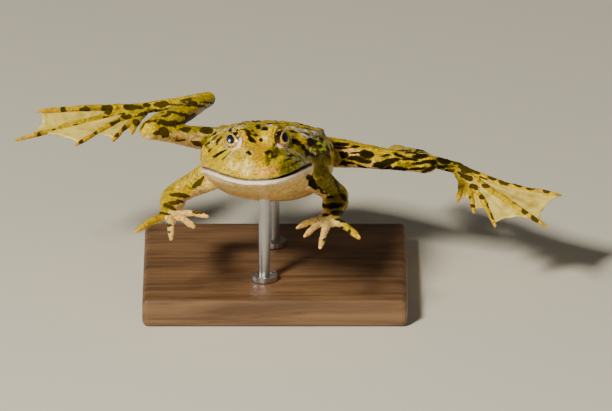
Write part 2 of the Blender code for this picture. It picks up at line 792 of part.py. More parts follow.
def dress(parts):
    skin = material("frog_skin", (0.42, 0.36, 0.05), 0.35)
    web_skin = material("web_skin", (0.55, 0.42, 0.14), 0.35)
    eye_gloss = material("eye", (0.25, 0.16, 0.03), 0.08)
    wood = material("stand_wood", (0.16, 0.09, 0.045), 0.5)
    steel = material("stand_steel", (0.5, 0.5, 0.5), 0.3, 1.0)
    for name, thing in parts.items():
        look = skin
        if name.startswith(("hand", "foot")):
            look = web_skin
        elif name.startswith("eye"):
            look = eye_gloss
        elif name.startswith("stand_rod"):
            look = steel
        elif name.startswith("stand"):
            look = wood
        thing.data.materials.clear()
        thing.data.materials.append(look)
        thing.data.name = name


def build():
    clear_scene()
    parts = part_flesh(flesh())
    dress_head(parts["head"])
    for side in JOINTS:
        parts[f"hand_{side}"] = hand(side)
        parts[f"foot_{side}"] = foot(side)
        parts[f"eye_{side}"] = eye(side)
    parts.update(stand(parts["torso"]))
    for thing in parts.values():
        place_in_metres(thing)
    dress(parts)


build()
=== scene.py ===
"""The looks of a green water frog that floats with its limbs spread, held on a plain stand.

The flesh is one continuous skin, lofted from the same sizes as the solids, remeshed and then
sculpted: lids, mouth line, nostrils, ears, folds, warts and grain. Its markings are fields
worked out at each point from named places, which the materials turn into spots and bars.
Shapes are worked out in millimetres from the middle of the mouth line.
"""
import math

import bmesh
import bpy
import numpy as np
from mathutils import Matrix, Vector
from mathutils.kdtree import KDTree


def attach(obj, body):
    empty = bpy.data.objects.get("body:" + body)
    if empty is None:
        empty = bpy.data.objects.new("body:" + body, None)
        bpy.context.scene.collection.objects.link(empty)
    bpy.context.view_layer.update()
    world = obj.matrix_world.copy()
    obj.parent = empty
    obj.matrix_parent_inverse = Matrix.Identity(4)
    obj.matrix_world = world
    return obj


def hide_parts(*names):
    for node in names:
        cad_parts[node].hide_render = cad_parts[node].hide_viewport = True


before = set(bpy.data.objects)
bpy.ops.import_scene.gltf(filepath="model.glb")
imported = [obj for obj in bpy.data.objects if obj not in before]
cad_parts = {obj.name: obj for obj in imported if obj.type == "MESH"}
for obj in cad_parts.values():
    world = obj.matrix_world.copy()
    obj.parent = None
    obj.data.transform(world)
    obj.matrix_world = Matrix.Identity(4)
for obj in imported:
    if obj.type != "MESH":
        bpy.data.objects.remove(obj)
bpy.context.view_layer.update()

METRES = 0.001
SIDES = ("right", "left")
SIGN = {"right": -1.0, "left": 1.0}
BASE_CENTRE = Vector((4.0, 54.0, -52.0))

# Head, measured back from the snout tip and up from the mouth line in its own frame
HEAD_PITCH = math.radians(9.5)
HEAD_YAW = math.radians(2.0)
HEAD_ROLL = math.radians(1.5)
HEAD_STATIONS = (
    # back, half width, top, bottom
    (0.0, 3.0, 3.3, -1.2),
    (1.2, 4.6, 4.6, -1.9),
    (3.0, 6.5, 5.7, -2.6),
    (6.0, 9.0, 6.8, -3.6),
    (10.0, 11.3, 7.8, -4.9),
    (15.0, 13.4, 8.6, -6.4),
    (20.0, 14.6, 9.2, -7.6),
    (27.0, 15.3, 9.6, -8.9),
    (35.0, 15.0, 9.6, -9.9),
)
MOUTH_LINE = (
    # back, up
    (-4.0, -0.3),
    (0.0, -0.3),
    (5.0, 0.1),
    (11.0, 0.5),
    (17.0, 0.3),
    (23.0, -0.5),
    (27.5, -1.6),
)
LIP_RADIUS = 0.8
# The groove between the lips: its width on the right and on the left, and its depth
GROOVE_WIDTHS = (0.3, 0.4)
GROOVE_DEPTH = 0.55
EYE_PLACE = Vector((5.0, 15.2, 7.7))
EYE_RADII = Vector((3.9, 4.2, 3.7))
EYE_GAZE = Vector((0.7, -0.6, 0.38))
LID_THICKNESS = 0.9
# Half the angle that each eye is open, and how much more downward and backward, in degrees
EYE_OPENING = (52.5, 5.5, 2.0)
# Inside the lids the skin sinks to this share of the ball, and their edge rolls out by this share
LID_SUNK = 0.86
LID_ROLL = 0.17
# The mark along each lid's edge: degrees past the opening and its spread
LID_EDGE = {"right": (1.0, 4.0), "left": (-1.0, 3.2)}
# How many degrees past the opening the white inner lid reaches
WHITE_BREADTH = {"right": 4.2, "left": 3.2}
# Each pupil: its middle back and up from the gaze, and its half length and half width
PUPIL = {"right": (0.0, 0.0, 0.46, 0.33), "left": (0.08, -0.05, 0.46, 0.36)}
# The dark notch above each pupil, back and up from its middle, and its radius
EYE_LOBE = {"right": (-0.10, 0.53, 0.19), "left": (-0.19, 0.46, 0.22)}
# Where the white inner lid shows: its weights to the front and down, and where it starts and is full
LID_LOW = {"right": (0.75, 0.65, -0.1, 0.5), "left": (0.5, 0.87, 0.45, 0.7)}
# How golden each iris is painted: the sunlit one far more gold, as lit, the shaded one darker, as
# painted shade
IRIS_GOLD = {"right": 0.07, "left": -0.01}
NOSTRIL_PLACE = Vector((2.4, 4.6, 6.4))
NOSTRIL_RADIUS = 0.5
NOSTRIL_DEPTH = 0.75
NOSTRIL_RIM = 0.22
EAR_PLACE = Vector((13.9, 23.5, 3.2))
EAR_RADIUS = 2.6
EAR_DEPTH = 0.25
EAR_RIM = 0.3
EAR_FOLD = (
    Vector((8.6, 19.6, 7.6)),
    Vector((12.2, 22.6, 6.6)),
    Vector((14.6, 26.4, 4.0)),
    Vector((15.2, 28.8, 0.6)),
)
EAR_FOLD_RADIUS = 0.8

# The ridge from each eye to the nostril and the hollow under it: both ends, width and height
SNOUT_LINES = (
    (Vector((3.9, 10.5, 8.8)), Vector((2.9, 4.8, 6.6)), 1.0, 0.6),
    (Vector((6.6, 10.0, 6.2)), Vector((4.8, 5.0, 4.8)), 1.6, -0.55),
)

# Torso, along its own axis from the neck to the vent
TORSO_START = Vector((0.2, 29.3, -5.0))
TORSO_END = Vector((5.4, 86.5, -23.0))
TORSO_STATIONS = (
    # along, half width, top, bottom
    (-5.0, 13.2, 8.1, -7.6),
    (0.0, 15.2, 9.0, -9.4),
    (8.0, 16.9, 9.4, -11.0),
    (18.0, 17.8, 9.6, -12.0),
    (28.0, 18.0, 9.7, -12.5),
    (38.0, 16.7, 9.5, -12.0),
    (47.0, 13.5, 8.5, -10.2),
    (54.0, 9.8, 6.8, -7.8),
    (59.0, 6.0, 4.4, -5.2),
)
# The ridge on each side of the back: its share of the half width, its run, how deep it sits, and
# its half widths
FOLD_PLACE = 0.74
FOLD_RUN = (-2.0, 48.0)
FOLD_SUNK = 0.03
FOLD_STATIONS = ((0.0, 0.6, 0.5), (0.2, 1.1, 0.9), (0.8, 1.1, 0.9), (1.0, 0.6, 0.5))
# How squarish the sections are: 2 is an ellipse
SECTION_POWER = 2.4
HEAD_POWER = 2.15
RING_SIDES = 96
RING_STEPS = 60

# Joints, and the half widths across and up along each length of limb
JOINTS = {
    "right": {
        "shoulder": Vector((-14.0, 33.0, -11.0)),
        "elbow": Vector((-24.0, 42.6, -19.9)),
        "wrist": Vector((-25.6, 26.0, -19.2)),
        "hip": Vector((-4.1, 77.0, -17.6)),
        "knee": Vector((-31.0, 49.5, -3.4)),
        "ankle": Vector((-15.2, 89.2, -8.2)),
        "foot": Vector((-30.8, 82.0, -8.0)),
    },
    "left": {
        "shoulder": Vector((14.5, 33.0, -11.0)),
        "elbow": Vector((21.5, 45.8, -21.2)),
        "wrist": Vector((19.6, 29.2, -21.4)),
        "hip": Vector((12.9, 77.0, -19.0)),
        "knee": Vector((46.3, 50.3, -13.7)),
        "ankle": Vector((38.0, 92.2, -25.2)),
        "foot": Vector((53.6, 77.4, -24.2)),
    },
}
LIMB_STATIONS = {
    # along, half width, half height
    "upper_arm": ((0.0, 4.3, 4.3), (0.4, 3.8, 3.6), (0.75, 3.3, 3.1), (1.0, 3.1, 2.9)),
    "forearm": ((0.0, 3.0, 2.9), (0.3, 3.6, 3.3), (0.6, 3.2, 2.9), (0.9, 2.5, 2.1), (1.15, 2.4, 1.9)),
    "thigh": ((0.0, 6.2, 4.4), (0.25, 5.9, 3.8), (0.5, 5.0, 3.1), (0.75, 3.8, 2.6), (1.0, 2.9, 2.4)),
    "shank": ((0.0, 3.0, 2.6), (0.25, 4.0, 3.0), (0.5, 3.9, 2.9), (0.75, 2.9, 2.4), (1.0, 2.3, 2.1)),
    "tarsus": ((0.0, 2.3, 2.1), (0.4, 2.0, 1.7), (0.8, 2.1, 1.6), (1.12, 2.3, 1.5)),
}
# Which way the dark upper side of each length of limb faces, on the frog's left
LIMB_BACKS = {
    "upper_arm": Vector((0.4, -0.3, 0.85)),
    "forearm": Vector((0.75, -0.25, 0.6)),
    "thigh": Vector((0.0, 0.3, 0.95)),
    "shank": Vector((0.0, -0.5, 0.86)),
    "tarsus": Vector((0.0, -0.2, 0.98)),
}
LIMB_ENDS = {
    "upper_arm": ("shoulder", "elbow"),
    "forearm": ("elbow", "wrist"),
    "thigh": ("hip", "knee"),
    "shank": ("knee", "ankle"),
    "tarsus": ("ankle", "foot"),
}
# Fingers from the wrist and toes from the foot's root: offsets to each tip, first digit first
FINGER_TIPS = {
    "right": (Vector((10.7, -8.3, 1.8)), Vector((7.0, -13.2, 0.6)), Vector((1.0, -21.7, 0.2)),
              Vector((-8.5, -16.6, 0.6))),
    "left": (Vector((-9.3, -12.1, 0.9)), Vector((-7.2, -15.2, -0.4)), Vector((-3.0, -23.1, -0.8)),
             Vector((7.6, -16.1, -0.5))),
}
FINGER_BEND = Vector((0.0, 0.0, 0.7))
TOE_TIPS = {
    "right": (Vector((-5.5, -19.2, -1.1)), Vector((-10.5, -24.9, -1.0)), Vector((-20.6, -30.7, -0.2)),
              Vector((-36.9, -29.0, 0.6)), Vector((-31.0, -20.8, 6.1))),
    "left": (Vector((1.7, -19.7, -3.0)), Vector((6.1, -25.9, -4.1)), Vector((11.7, -34.7, -4.7)),
             Vector((25.6, -39.3, -3.3)), Vector((29.7, -23.7, 0.1))),
}
# How far the middle of each toe bows out of a straight line
TOE_BENDS = {
    "right": (Vector((0.0, 0.0, 0.5)),) * 5,
    "left": (Vector((1.3, 0.0, 0.5)), Vector((1.2, 0.0, 0.2)), Vector((1.5, 0.0, 0.0)),
             Vector((0.0, 0.0, 0.0)), Vector((0.0, 0.0, -1.2))),
}
# Share of the length and radius along each digit
FINGER_RADII = ((0.0, 1.35), (0.35, 1.05), (0.7, 0.9), (0.9, 0.78), (1.02, 0.58))
TOE_RADII = ((0.0, 1.4), (0.3, 1.05), (0.7, 0.8), (0.94, 0.64), (1.03, 0.46))
KNUCKLE_SWELL = 0.07
# How the rings at the end of each tube shrink to round it off
CAP_SHARES = (0.97, 0.87, 0.67, 0.35)
PALM_RADII = Vector((3.3, 3.4, 1.8))
PALM_REACH = 3.4
DIGIT_ROOT_REACHES = (2.2, 1.6)
TOE_ROOT_REACHES = (1.6, 0.6)
WEB_THICKNESS = 0.6
WEB_ROOT = 0.22
WEB_INSET = 0.3
WEB_SAG = 0.3
WEB_RIPPLE = 0.12
# How far the web reaches along each pair of neighbouring toes, first pair first, and its hollow
WEB_REACHES = {
    "right": ((0.95, 0.74, 0.08), (0.95, 0.75, 0.06), (0.95, 0.8, 0.04), (0.93, 1.0, 0.07)),
    "left": ((0.95, 0.74, 0.08), (0.95, 0.76, 0.08), (0.96, 0.87, 0.07), (0.945, 1.0, 0.05)),
}

# Fineness of the skin
VOXEL = 0.34
SMOOTHING = 4
# How far above and below the lips the mesh is parted once, and parted again
FINE_REACHES = (2.2, 1.7)
BLENDING = 30
# How far from each joint the surface is blended
BLEND_REACHES = {"shoulder": 11.0, "hip": 15.0, "elbow": 5.0}
# The digits are smoothed less: their root, the joint before it and how far they reach
DIGIT_REACHES = (("wrist", "elbow", 26.0), ("foot", "ankle", 50.0))
DIGIT_SMOOTHING = 0.35
# Warts of each region: how many, least and largest radius, and height
WARTS = (
    ("torso", 260, 0.45, 0.95, 0.3),
    ("limbs", 220, 0.35, 0.6, 0.14),
    ("head", 60, 0.3, 0.5, 0.12),
)
GRAIN_HEIGHT = 0.12
SWELL_HEIGHT = 0.3

# Markings on the far sides: places along a limb and half lengths of its bars, as shares of the limb
LIMB_BARS = {
    "upper_arm": ((0.3, 0.06),),
    "forearm": ((0.14, 0.05), (0.36, 0.05), (0.58, 0.055), (0.82, 0.05)),
    "thigh": ((0.2, 0.055), (0.42, 0.06), (0.64, 0.05), (0.86, 0.045)),
    "shank": ((0.12, 0.045), (0.32, 0.055), (0.55, 0.055), (0.78, 0.05)),
    "tarsus": ((0.15, 0.08), (0.5, 0.09), (0.85, 0.08)),
}
# Bars of each digit, first digit first
TOE_BARS = (
    ((0.5, 0.08), (0.78, 0.05)),
    ((0.4, 0.06), (0.6, 0.05), (0.8, 0.04)),
    ((0.3, 0.05), (0.5, 0.06), (0.7, 0.04), (0.87, 0.03)),
    ((0.2, 0.05), (0.36, 0.035), (0.55, 0.03), (0.72, 0.03), (0.86, 0.02)),
    ((0.18, 0.05), (0.38, 0.035), (0.58, 0.035), (0.77, 0.025)),
)
FINGER_BARS = (
    ((0.4, 0.05),),
    ((0.35, 0.04),),
    ((0.3, 0.04), (0.62, 0.03)),
    ((0.35, 0.05), (0.65, 0.04)),
)
DIGIT_BARS = {"toe": TOE_BARS, "finger": FINGER_BARS}
# The length in millimetres that a share of a limb or digit stands for in its bars
LIMB_BAR_REACH = 30.0
BAR_REACHES = {"toe": 28.0, "finger": 15.0}
# How much of the dark upper side each digit shows
DIGIT_TOPS = (
    ("finger_0", 0.25),
    ("finger_1", 0.25),
    ("finger_2", 0.25),
    ("finger_3", 0.8),
    ("toe", 0.85),
)

# Millimetres for each pixel of the photo at the snout
PIXEL = 0.275
# Dark marks as they are seen from the front: steps of PIXEL to the right of the middle of the mouth
# and above it, then half length, half width and tilt in degrees
FACE_MARKS = (
    (-11.5, 46.8, 2.6, 0.9, -20), (-11.5, 43.2, 2.6, 1.0, -60), (-8.5, 39.4, 3.6, 1.7, -40),
    (-4.5, 44.2, 3.8, 0.7, -15), (28, 55, 5.0, 0.7, -12), (13, 56.5, 4.0, 0.6, -4),
    (52, 50.3, 5.0, 0.8, -25), (33, 47.5, 4.0, 0.6, -15), (45, 45, 5.0, 0.7, -20),
    (-19, 55.5, 4.0, 0.6, 8), (-33, 49.5, 4.0, 0.7, 25), (-14, 49.5, 4.0, 0.6, -6),
    (62, 44.5, 3.0, 0.9, -35), (-24, 49.5, 5.0, 0.9, 18), (-2.5, 52.5, 2.6, 1.8, -20),
    (4.5, 50.5, 3.0, 1.6, 0), (1.3, 39.3, 1.3, 1.2, 0), (-46, 46.5, 4.0, 1.0, 25),
    (-46.5, 41.5, 4.0, 1.1, 40), (-41, 38.5, 3.6, 1.4, 55), (-45, 24, 4.0, 0.9, 35),
    (-33, 26.5, 2.2, 0.8, 10), (-53, 36, 2.0, 0.8, 50), (-39, 31, 2.4, 0.6, 40),
    (-36, 21.5, 2.0, 0.6, 35), (-51, 28.5, 2.2, 0.6, 60), (-11.0, 25.2, 1.5, 0.4, -5),
    (20, 34.5, 2.4, 0.8, -30), (25, 31, 2.0, 0.9, -20), (27.5, 18.5, 3.2, 0.7, 20),
    (36, 16, 4.0, 0.6, 32), (31, 23, 2.4, 0.7, -25), (7.5, 26.5, 2.6, 1.1, 0), (12, 21.5, 1.6, 0.9, 60),
    (17, 24.5, 2.2, 0.7, 20), (33, 38, 3.6, 2.4, -20), (38, 35.5, 4.0, 1.6, -35),
    (42.3, 32, 6.0, 1.5, -65), (46.5, 26.3, 4.0, 1.5, -45), (54.5, 24, 7.5, 1.5, 5),
    (54, 39, 8.0, 2.6, 4), (52, 36, 3.4, 2.0, 30), (62, 37, 9.0, 6.0, -20), (69, 28, 6.0, 5.0, 60),
    (66, 45, 4.5, 2.6, -50), (37, 52, 4.0, 1.0, -25), (47, 49, 5.0, 1.0, -20), (52, -3, 8.5, 3.8, -60),
)
# Lime spots in the dark patch behind the left eye
SPARKS = (
    (58.5, 35.5, 2.4, 1.7, 20), (64, 35, 3.0, 2.4, -20), (64.5, 31, 2.0, 1.6, 0),
    (61.5, 29.5, 2.6, 1.2, 10), (54.5, 31, 2.0, 1.0, 0), (68, 38.5, 1.7, 1.6, 0),
    (57, 41.5, 2.4, 1.0, 15),
)
ARM_MARKS = {
    "right": (
        (-63, -3.3, 8.0, 1.9, 38), (-81.5, -16, 8.5, 2.4, -2), (-86.5, -22.8, 7.6, 1.7, -4),
        (-91.5, -27.8, 6.5, 2.4, -20), (-97.5, -34.5, 6.5, 1.5, -4), (-93, -46, 3.0, 1.2, 0),
        (-92, -54, 1.5, 0.9, 0), (-63, -33, 4.4, 1.6, -15), (-67, -26, 5.4, 1.7, -30),
    ),
    "left": (
        (51.5, -3, 9.5, 3.3, -58), (62, -12, 5.0, 1.2, -40), (78, -6, 6.0, 1.4, -60),
        (72.5, -26.5, 11.5, 2.7, 3), (70.5, -17.8, 3.4, 1.2, 15), (84, -18, 4.5, 2.2, -60),
        (78, -34.5, 7.0, 2.7, 0), (82, -42.5, 6.0, 2.0, -8), (66, -36, 3.0, 0.9, 10),
        (73, -51.5, 2.8, 1.3, 0), (88.5, -53, 1.6, 1.5, 30), (81.5, -49, 1.4, 1.2, 20),
        (66.5, -60, 2.2, 1.0, 30),
    ),
}
LEG_MARKS = {
    "right": (
        (-98.5, 48, 5.4, 4.7, -60), (-105, 47, 4.0, 1.3, 0), (-78, 51, 5.0, 1.9, 0),
        (-55.5, 50, 7.0, 3.8, 0), (-62, 35.5, 7.2, 2.5, -18), (-81, 39.7, 5.0, 1.3, 0),
        (-94, 57.5, 10.5, 2.4, -3), (-89, 57, 4.5, 2.9, 0), (-111, 58.7, 4.5, 0.9, 15),
        (-96, 66.5, 5.5, 1.5, 18), (-118, 54.5, 4.5, 0.9, 50), (-81, 66.5, 9.0, 1.7, -8),
        (-69, 63.5, 7.5, 3.8, 12), (-79, 59, 3.6, 1.2, 10), (-56, 68.5, 8.5, 1.9, 35),
        (-53.5, 72.5, 3.6, 2.0, 40), (-82, 76.4, 13.0, 0.9, -2), (-63, 75.5, 6.5, 1.2, -6),
        (-71, 78, 4.5, 1.8, 10), (-54, 79.3, 6.0, 0.9, 0), (-46, 80, 4.0, 1.6, 70),
        (-102.5, 77.2, 6.2, 2.7, 3), (-103, 70.4, 9.0, 1.2, 4), (-76.5, 81.5, 4.5, 1.9, 8),
        (-119.5, 67.3, 6.5, 1.4, 12), (-117.5, 75.8, 4.0, 1.9, 0), (-125, 74, 2.4, 2.6, 0),
        (-201, 70.5, 2.4, 3.4, 0), (-180.5, 70.5, 4.4, 3.6, 0), (-157.5, 71.5, 4.2, 3.8, 0),
        (-133, 74, 7.0, 3.6, 5), (-210.5, 48, 2.2, 3.4, 15), (-189, 52.5, 2.2, 3.8, 15),
        (-159, 61.5, 3.2, 4.4, 15), (-139, 64.5, 7.0, 2.4, -5), (-225.5, 44.5, 1.5, 3.0, 15),
        (-149, 58.5, 4.4, 1.8, 10), (-170, 50, 2.2, 3.4, 35), (-184, 40.5, 1.9, 3.2, 30),
        (-148, 46, 2.2, 3.2, 45), (-140, 52, 2.2, 3.2, 40), (-128, 58, 3.2, 2.4, 40),
    ),
    "left": (
        (80, 24.5, 9.4, 4.0, 8), (83, 36.5, 7.0, 2.1, 0), (83, 32.7, 8.0, 0.9, 0),
        (97, 22, 7.5, 2.5, -5), (97, 27.8, 6.0, 0.8, 0), (108.5, 26.2, 6.6, 3.9, -5),
        (105, 19.2, 7.0, 1.8, 0), (88.5, 17.3, 6.0, 1.5, -8), (81, 15.8, 5.5, 1.5, -8),
        (102, 13.4, 5.8, 1.3, -12), (114, 10.8, 11.5, 1.4, -3), (125, 16.7, 11.0, 2.9, 6),
        (134, 19.5, 9.0, 2.3, 10), (128.5, 12, 4.8, 1.1, 0), (142, 11, 8.5, 2.1, 0),
        (127, 24.3, 4.0, 1.0, 0), (95, 33.3, 3.4, 1.2, 0), (146, 29.4, 6.5, 0.9, 0),
        (141, 25, 7.5, 1.2, -14), (152, 21, 6.5, 1.4, -10), (154, 27, 5.5, 0.9, 0),
        (163, 23.5, 8.0, 2.6, 0), (165, 29, 6.5, 1.3, 0), (166, 16.7, 12.0, 1.8, 3),
        (176, 18, 5.5, 2.2, 0), (188.5, 21, 7.6, 3.9, -8), (188.5, 14, 7.2, 1.9, 0),
        (193, 8.8, 4.0, 1.2, 0), (200, 17, 2.8, 1.8, 0), (209, 12, 8.0, 3.4, -25),
        (211, 2.5, 6.0, 2.6, -25), (220.5, 8, 4.4, 1.7, -20), (205.5, 7, 3.0, 1.2, -30),
        (229, -5.5, 4.4, 1.6, 0), (237, 1, 4.0, 1.6, -10), (249, -3, 5.0, 2.4, -8),
        (262, -6, 4.0, 2.2, -10), (255, -17, 3.6, 2.0, -40), (260, -22, 4.2, 2.6, -35),
        (269.5, -32, 3.6, 2.8, -35), (279, -40, 3.6, 2.8, -35), (233, -27, 2.4, 2.6, 0),
        (238, -37.3, 3.8, 2.8, -20), (215.5, -26.2, 3.0, 2.0, 0), (218, -7.3, 4.4, 1.7, -20),
        (227, 0.5, 4.4, 1.5, -15), (276, -9.5, 3.4, 1.6, -12), (290, -12.5, 3.0, 1.6, -12),
        (226, -17, 2.8, 2.6, -60), (212, -18, 2.4, 1.8, 0), (245, -9, 3.6, 2.0, -35),
        (159, 10.6, 9.0, 1.5, 0), (173, 10.5, 5.0, 1.5, 25), (175, 14.5, 2.4, 1.2, -60),
        (168, 7.6, 4.0, 0.9, 8),
    ),
}
# Places in the dark patch behind the eye that stay light: the ear and the skin before it
CLEARINGS = (
    (49.5, 30.2, 4.6, 2.6, -40), (54.5, 27.3, 3.6, 2.0, -20), (43.5, 36.5, 3.4, 1.8, 20),
)
# What the field of dark marks holds away from all of them
NO_MARK = -1.5
# How far the edges of the marks wander: size of the wandering in millimetres, reach in steps, seed
WANDER = ((2.6, 1.5, 51), (1.0, 0.8, 61))
# Patches of tone in the same steps, with a strength
TONES = {
    # Olive skin, and painted shade on the frog's shaded left side: beside the nose, on the cheek and
    # arm, and under the knee
    "olive_and_shade": (
        (11, 24, 7.5, 7.0, 0, 1.0), (8.5, 17, 4.5, 6.0, 0, 0.9), (17, 27.5, 7, 3.6, 0, 1.0),
        (33, 27, 14, 10, 10, 0.65), (27, 11, 15, 5.5, 18, 0.8), (112, 20, 22, 10, 0, 0.45),
        (85, 22, 12, 8, 0, 0.3), (62, 28, 15, 18, 0, 0.95), (68, -8, 22, 20, -40, 0.8),
        (80, -28, 12, 22, 0, 0.7), (62, 8, 10, 12, 0, 0.85), (148, 15, 13, 5.5, 0, 0.8),
        (20, 44, 4, 8, 0, 0.25), (-10, 42.5, 8, 3.6, -50, 0.55),
    ),
    "gold": (
        (-1, 28, 8, 18, 0, 1.0), (-18, 40, 4, 9, 0, 0.9), (16, 40, 4.5, 12, 20, 0.9),
        (-28, 9, 14, 4, -18, 0.8), (44, 35, 4, 3, 0, 0.8),
    ),
    "yellow": (
        (-35, 17, 18, 14, -20, 1.0), (17, 18.6, 8.5, 2.8, 36, 1.0), (5, 46, 8, 10, 0, 0.7),
        (37, 49, 14, 4, -20, 0.9), (42, 41, 7, 4, -20, 0.8), (-49, 30, 12, 16, 0, 0.55),
        (-40, 46, 14, 8, 20, 0.6), (-100, 70, 50, 30, 0, 0.7), (68, -21, 5, 2.6, 0, 0.9),
        (72, -31.5, 5, 1.6, 0, 0.9),
    ),
    # Painted highlights of the wet skin on the face, legs, hands and feet, and the pale skin of the ear
    "sheen": (
        (-13, 13, 8, 10, 20, 0.8), (-26, 14, 8, 6, 0, 0.7), (5, 40.5, 3.2, 3.4, 0, 0.9),
        (-12, 27, 7, 4, 0, 0.6), (-43, 48, 13, 4, 20, 0.6), (38, 50.5, 14, 3, -20, 0.6),
        (68, -45, 14, 13, 0, 0.8), (-92, -48, 8, 10, 0, 0.5), (216, -5, 12, 2.4, -40, 0.5),
        (237, -19, 14, 1.8, -38, 0.5), (41, 45, 8, 2.0, -40, 0.7), (-63, 45, 12, 2.2, 0, 0.9),
        (-50, 42, 8, 2.6, 20, 0.8), (49.5, 30.2, 4.6, 2.6, -40, 1.0), (54.5, 27.3, 3.6, 2.0, -20, 1.0),
        (-20, 52, 6, 2, 18, 0.5),
    ),
    "pink": (
        (6, 7, 15, 6, 8, 0.7), (-54, 10, 5, 8, 20, 0.8), (88, 30, 17, 5, -10, 0.45),
    ),
    # Painted reflections of the sky: lilac-white lines on the wet skin, mostly along the top of the
    # head and back
    "sky_reflection": (
        (-28, 54, 9, 0.7, 30, 0.8), (-10, 57.3, 9, 1.1, 4, 0.9), (8, 54.5, 6, 1.0, -6, 0.8),
        (29, 56.5, 9, 0.9, -12, 0.9), (40, 50.8, 12, 1.0, -20, 0.9), (56, 47, 9, 0.9, -28, 0.8),
        (22, 51, 7, 0.8, -10, 0.7), (49, 42.6, 12, 1.0, -18, 0.9), (-52, 44, 5, 0.8, 40, 0.6),
        (-30, 22, 6, 0.7, 35, 0.4), (40, 24, 6, 0.8, -35, 0.35),
    ),
    # Grey skin by the ear, and painted highlights: pale glints of the wet skin along the top of the
    # head and back
    "grey_and_glint": (
        (32, 24, 9, 3.0, 10, 0.3), (45.5, 17.5, 8, 2.2, 35, 1.0), (36, 19, 6, 2.0, 0, 0.4),
        (34, 53, 9, 1.2, -20, 0.6), (52, 46.5, 10, 1.4, -30, 0.6), (-22, 54, 14, 2.0, 18, 0.6),
        (176, 25, 9, 2.6, -5, 0.5),
    ),
    "cream": (
        (-78, 42, 24, 6.5, -8, 1.0), (-58, 43, 14, 6, 0, 1.0), (86, 29, 16, 7, -10, 0.75),
        (112, 17, 22, 4, 0, 0.5), (-96, 75, 14, 2.4, 12, 0.8), (210, 4, 14, 7, -40, 0.55),
        (225, -6, 12, 4, -40, 0.6), (101, 28, 7, 4, 0, 0.7), (-70, -21, 17, 5.5, 53, 1.0),
        (-56, -7, 15, 4.6, 28, 1.0), (56, -14, 16, 4.5, -50, 1.0), (64, -32, 12, 3.0, -75, 0.8),
    ),
    "lime": tuple((*spark, 1.0) for spark in SPARKS),
    "rust": (
        (-65.5, 44, 5.0, 1.3, -25, 0.9), (-56, 42, 4.6, 1.0, 0, 0.9), (-84, 41.8, 11.0, 1.1, 0, 0.8),
    ),
}
# The marks seen in front cover what faces the camera by more than this, and the torso up to here
SEEN_FACING = -0.05
SEEN_FACE_DEPTH = 46.0
# Each mark is this much larger than its strokes, in millimetres
MARK_SPREAD = 0.12

# Lights: name, place, size, power, tint, whether it lights the colours and whether it glints
LIGHTS = (
    ("key", Vector((-0.55, -0.9, 0.9)), 0.22, 32.0, (1.0, 0.93, 0.74), True, True),
    ("fill", Vector((0.5, -1.0, 0.5)), 0.9, 2.6, (1.0, 0.93, 0.78), True, False),
    ("rim", Vector((-1.05, 0.15, 0.24)), 0.25, 5.0, (0.86, 0.92, 1.0), False, True),
)
WORLD_TINT = (0.95, 0.9, 0.78)
WORLD_STRENGTH = 0.06
LIGHT_AIM = Vector((0, 0, 0.04))
FLOOR_SIZE = 6.0

CAMERA_ELEVATION = math.radians(20.0)
CAMERA_DISTANCE = 3.0
MOUTH_PIXEL = (260.0, 179.0)
FRAME_PIXELS = (612.0, 411.0)
SENSOR = 36.0


# Shapes

def smooth_table(stations, place):
    """Read the columns of a table of stations at any place along it, on a smooth curve."""
    rows = np.array(stations, dtype=float)
    keys = rows[:, 0]
    slopes = np.gradient(rows[:, 1:], keys, axis=0)
    index = int(np.clip(np.searchsorted(keys, place) - 1, 0, len(keys) - 2))
    span = keys[index + 1] - keys[index]
    t = float(np.clip((place - keys[index]) / span, 0.0, 1.0))
    low = rows[index, 1:]
    high = rows[index + 1, 1:]
    return (
        (2 * t**3 - 3 * t**2 + 1) * low
        + (t**3 - 2 * t**2 + t) * span * slopes[index]
        + (3 * t**2 - 2 * t**3) * high
        + (t**3 - t**2) * span * slopes[index + 1]
    )


def loft(bm, rings):
    """Skin closed rings of equal count and close both ends."""
    loops = [[bm.verts.new(point) for point in ring] for ring in rings]
    count = len(loops[0])
    for near, far in zip(loops, loops[1:]):
        for i in range(count):
            j = (i + 1) % count
            bm.faces.new((near[i], near[j], far[j], far[i]))
    for loop, flip in ((loops[0], True), (loops[-1], False)):
        middle = bm.verts.new(sum((v.co for v in loop), Vector()) / count)
        for i in range(count):
            j = (i + 1) % count
            corners = (loop[j], loop[i], middle) if flip else (loop[i], loop[j], middle)
            bm.faces.new(corners)


def limb_axes(direction):
    """Across and up for a section that stands square to a direction."""
    across = direction.cross(Vector((0, 0, 1))).normalized()
    return across, across.cross(direction).normalized()


def cap(end, inner):
    """The shrinking rings that round off one end of a tube, from the end outward."""
    centre, across, up, a, b = end
    out = (centre - inner[0]).normalized() * min(a, b)
    return [(centre + out * math.sqrt(1 - f * f), across, up, a * f, b * f) for f in CAP_SHARES]


def tube(bm, points, stations, sides, steps):
    """A tube through points with elliptical sections and rounded ends."""
    points = [Vector(p) for p in points]
    lengths = [0.0]
    for a, b in zip(points, points[1:]):
        lengths.append(lengths[-1] + (b - a).length)
    total = lengths[-1]
    path = [(s / total, *p) for s, p in zip(lengths, points)]
    first, last = stations[0][0], stations[-1][0]

    def centre(place):
        if place > 1.0:
            return points[-1] + (points[-1] - points[-2]).normalized() * (place - 1.0) * total
        return Vector(smooth_table(path, place))

    rings = []
    for i in range(steps + 1):
        place = first + (last - first) * i / steps
        ahead = centre(min(place + 0.02, max(last, 1.0)))
        behind = centre(max(place - 0.02, 0.0))
        across, up = limb_axes((ahead - behind).normalized())
        half = smooth_table(stations, place)
        rings.append((centre(place), across, up, half[0], half[-1]))
    made = cap(rings[0], rings[1])[::-1] + rings + cap(rings[-1], rings[-2])
    turns = [2 * math.pi * i / sides for i in range(sides)]
    loft(bm, [
        [c + across * a * math.cos(turn) + up * b * math.sin(turn) for turn in turns]
        for c, across, up, a, b in made
    ])


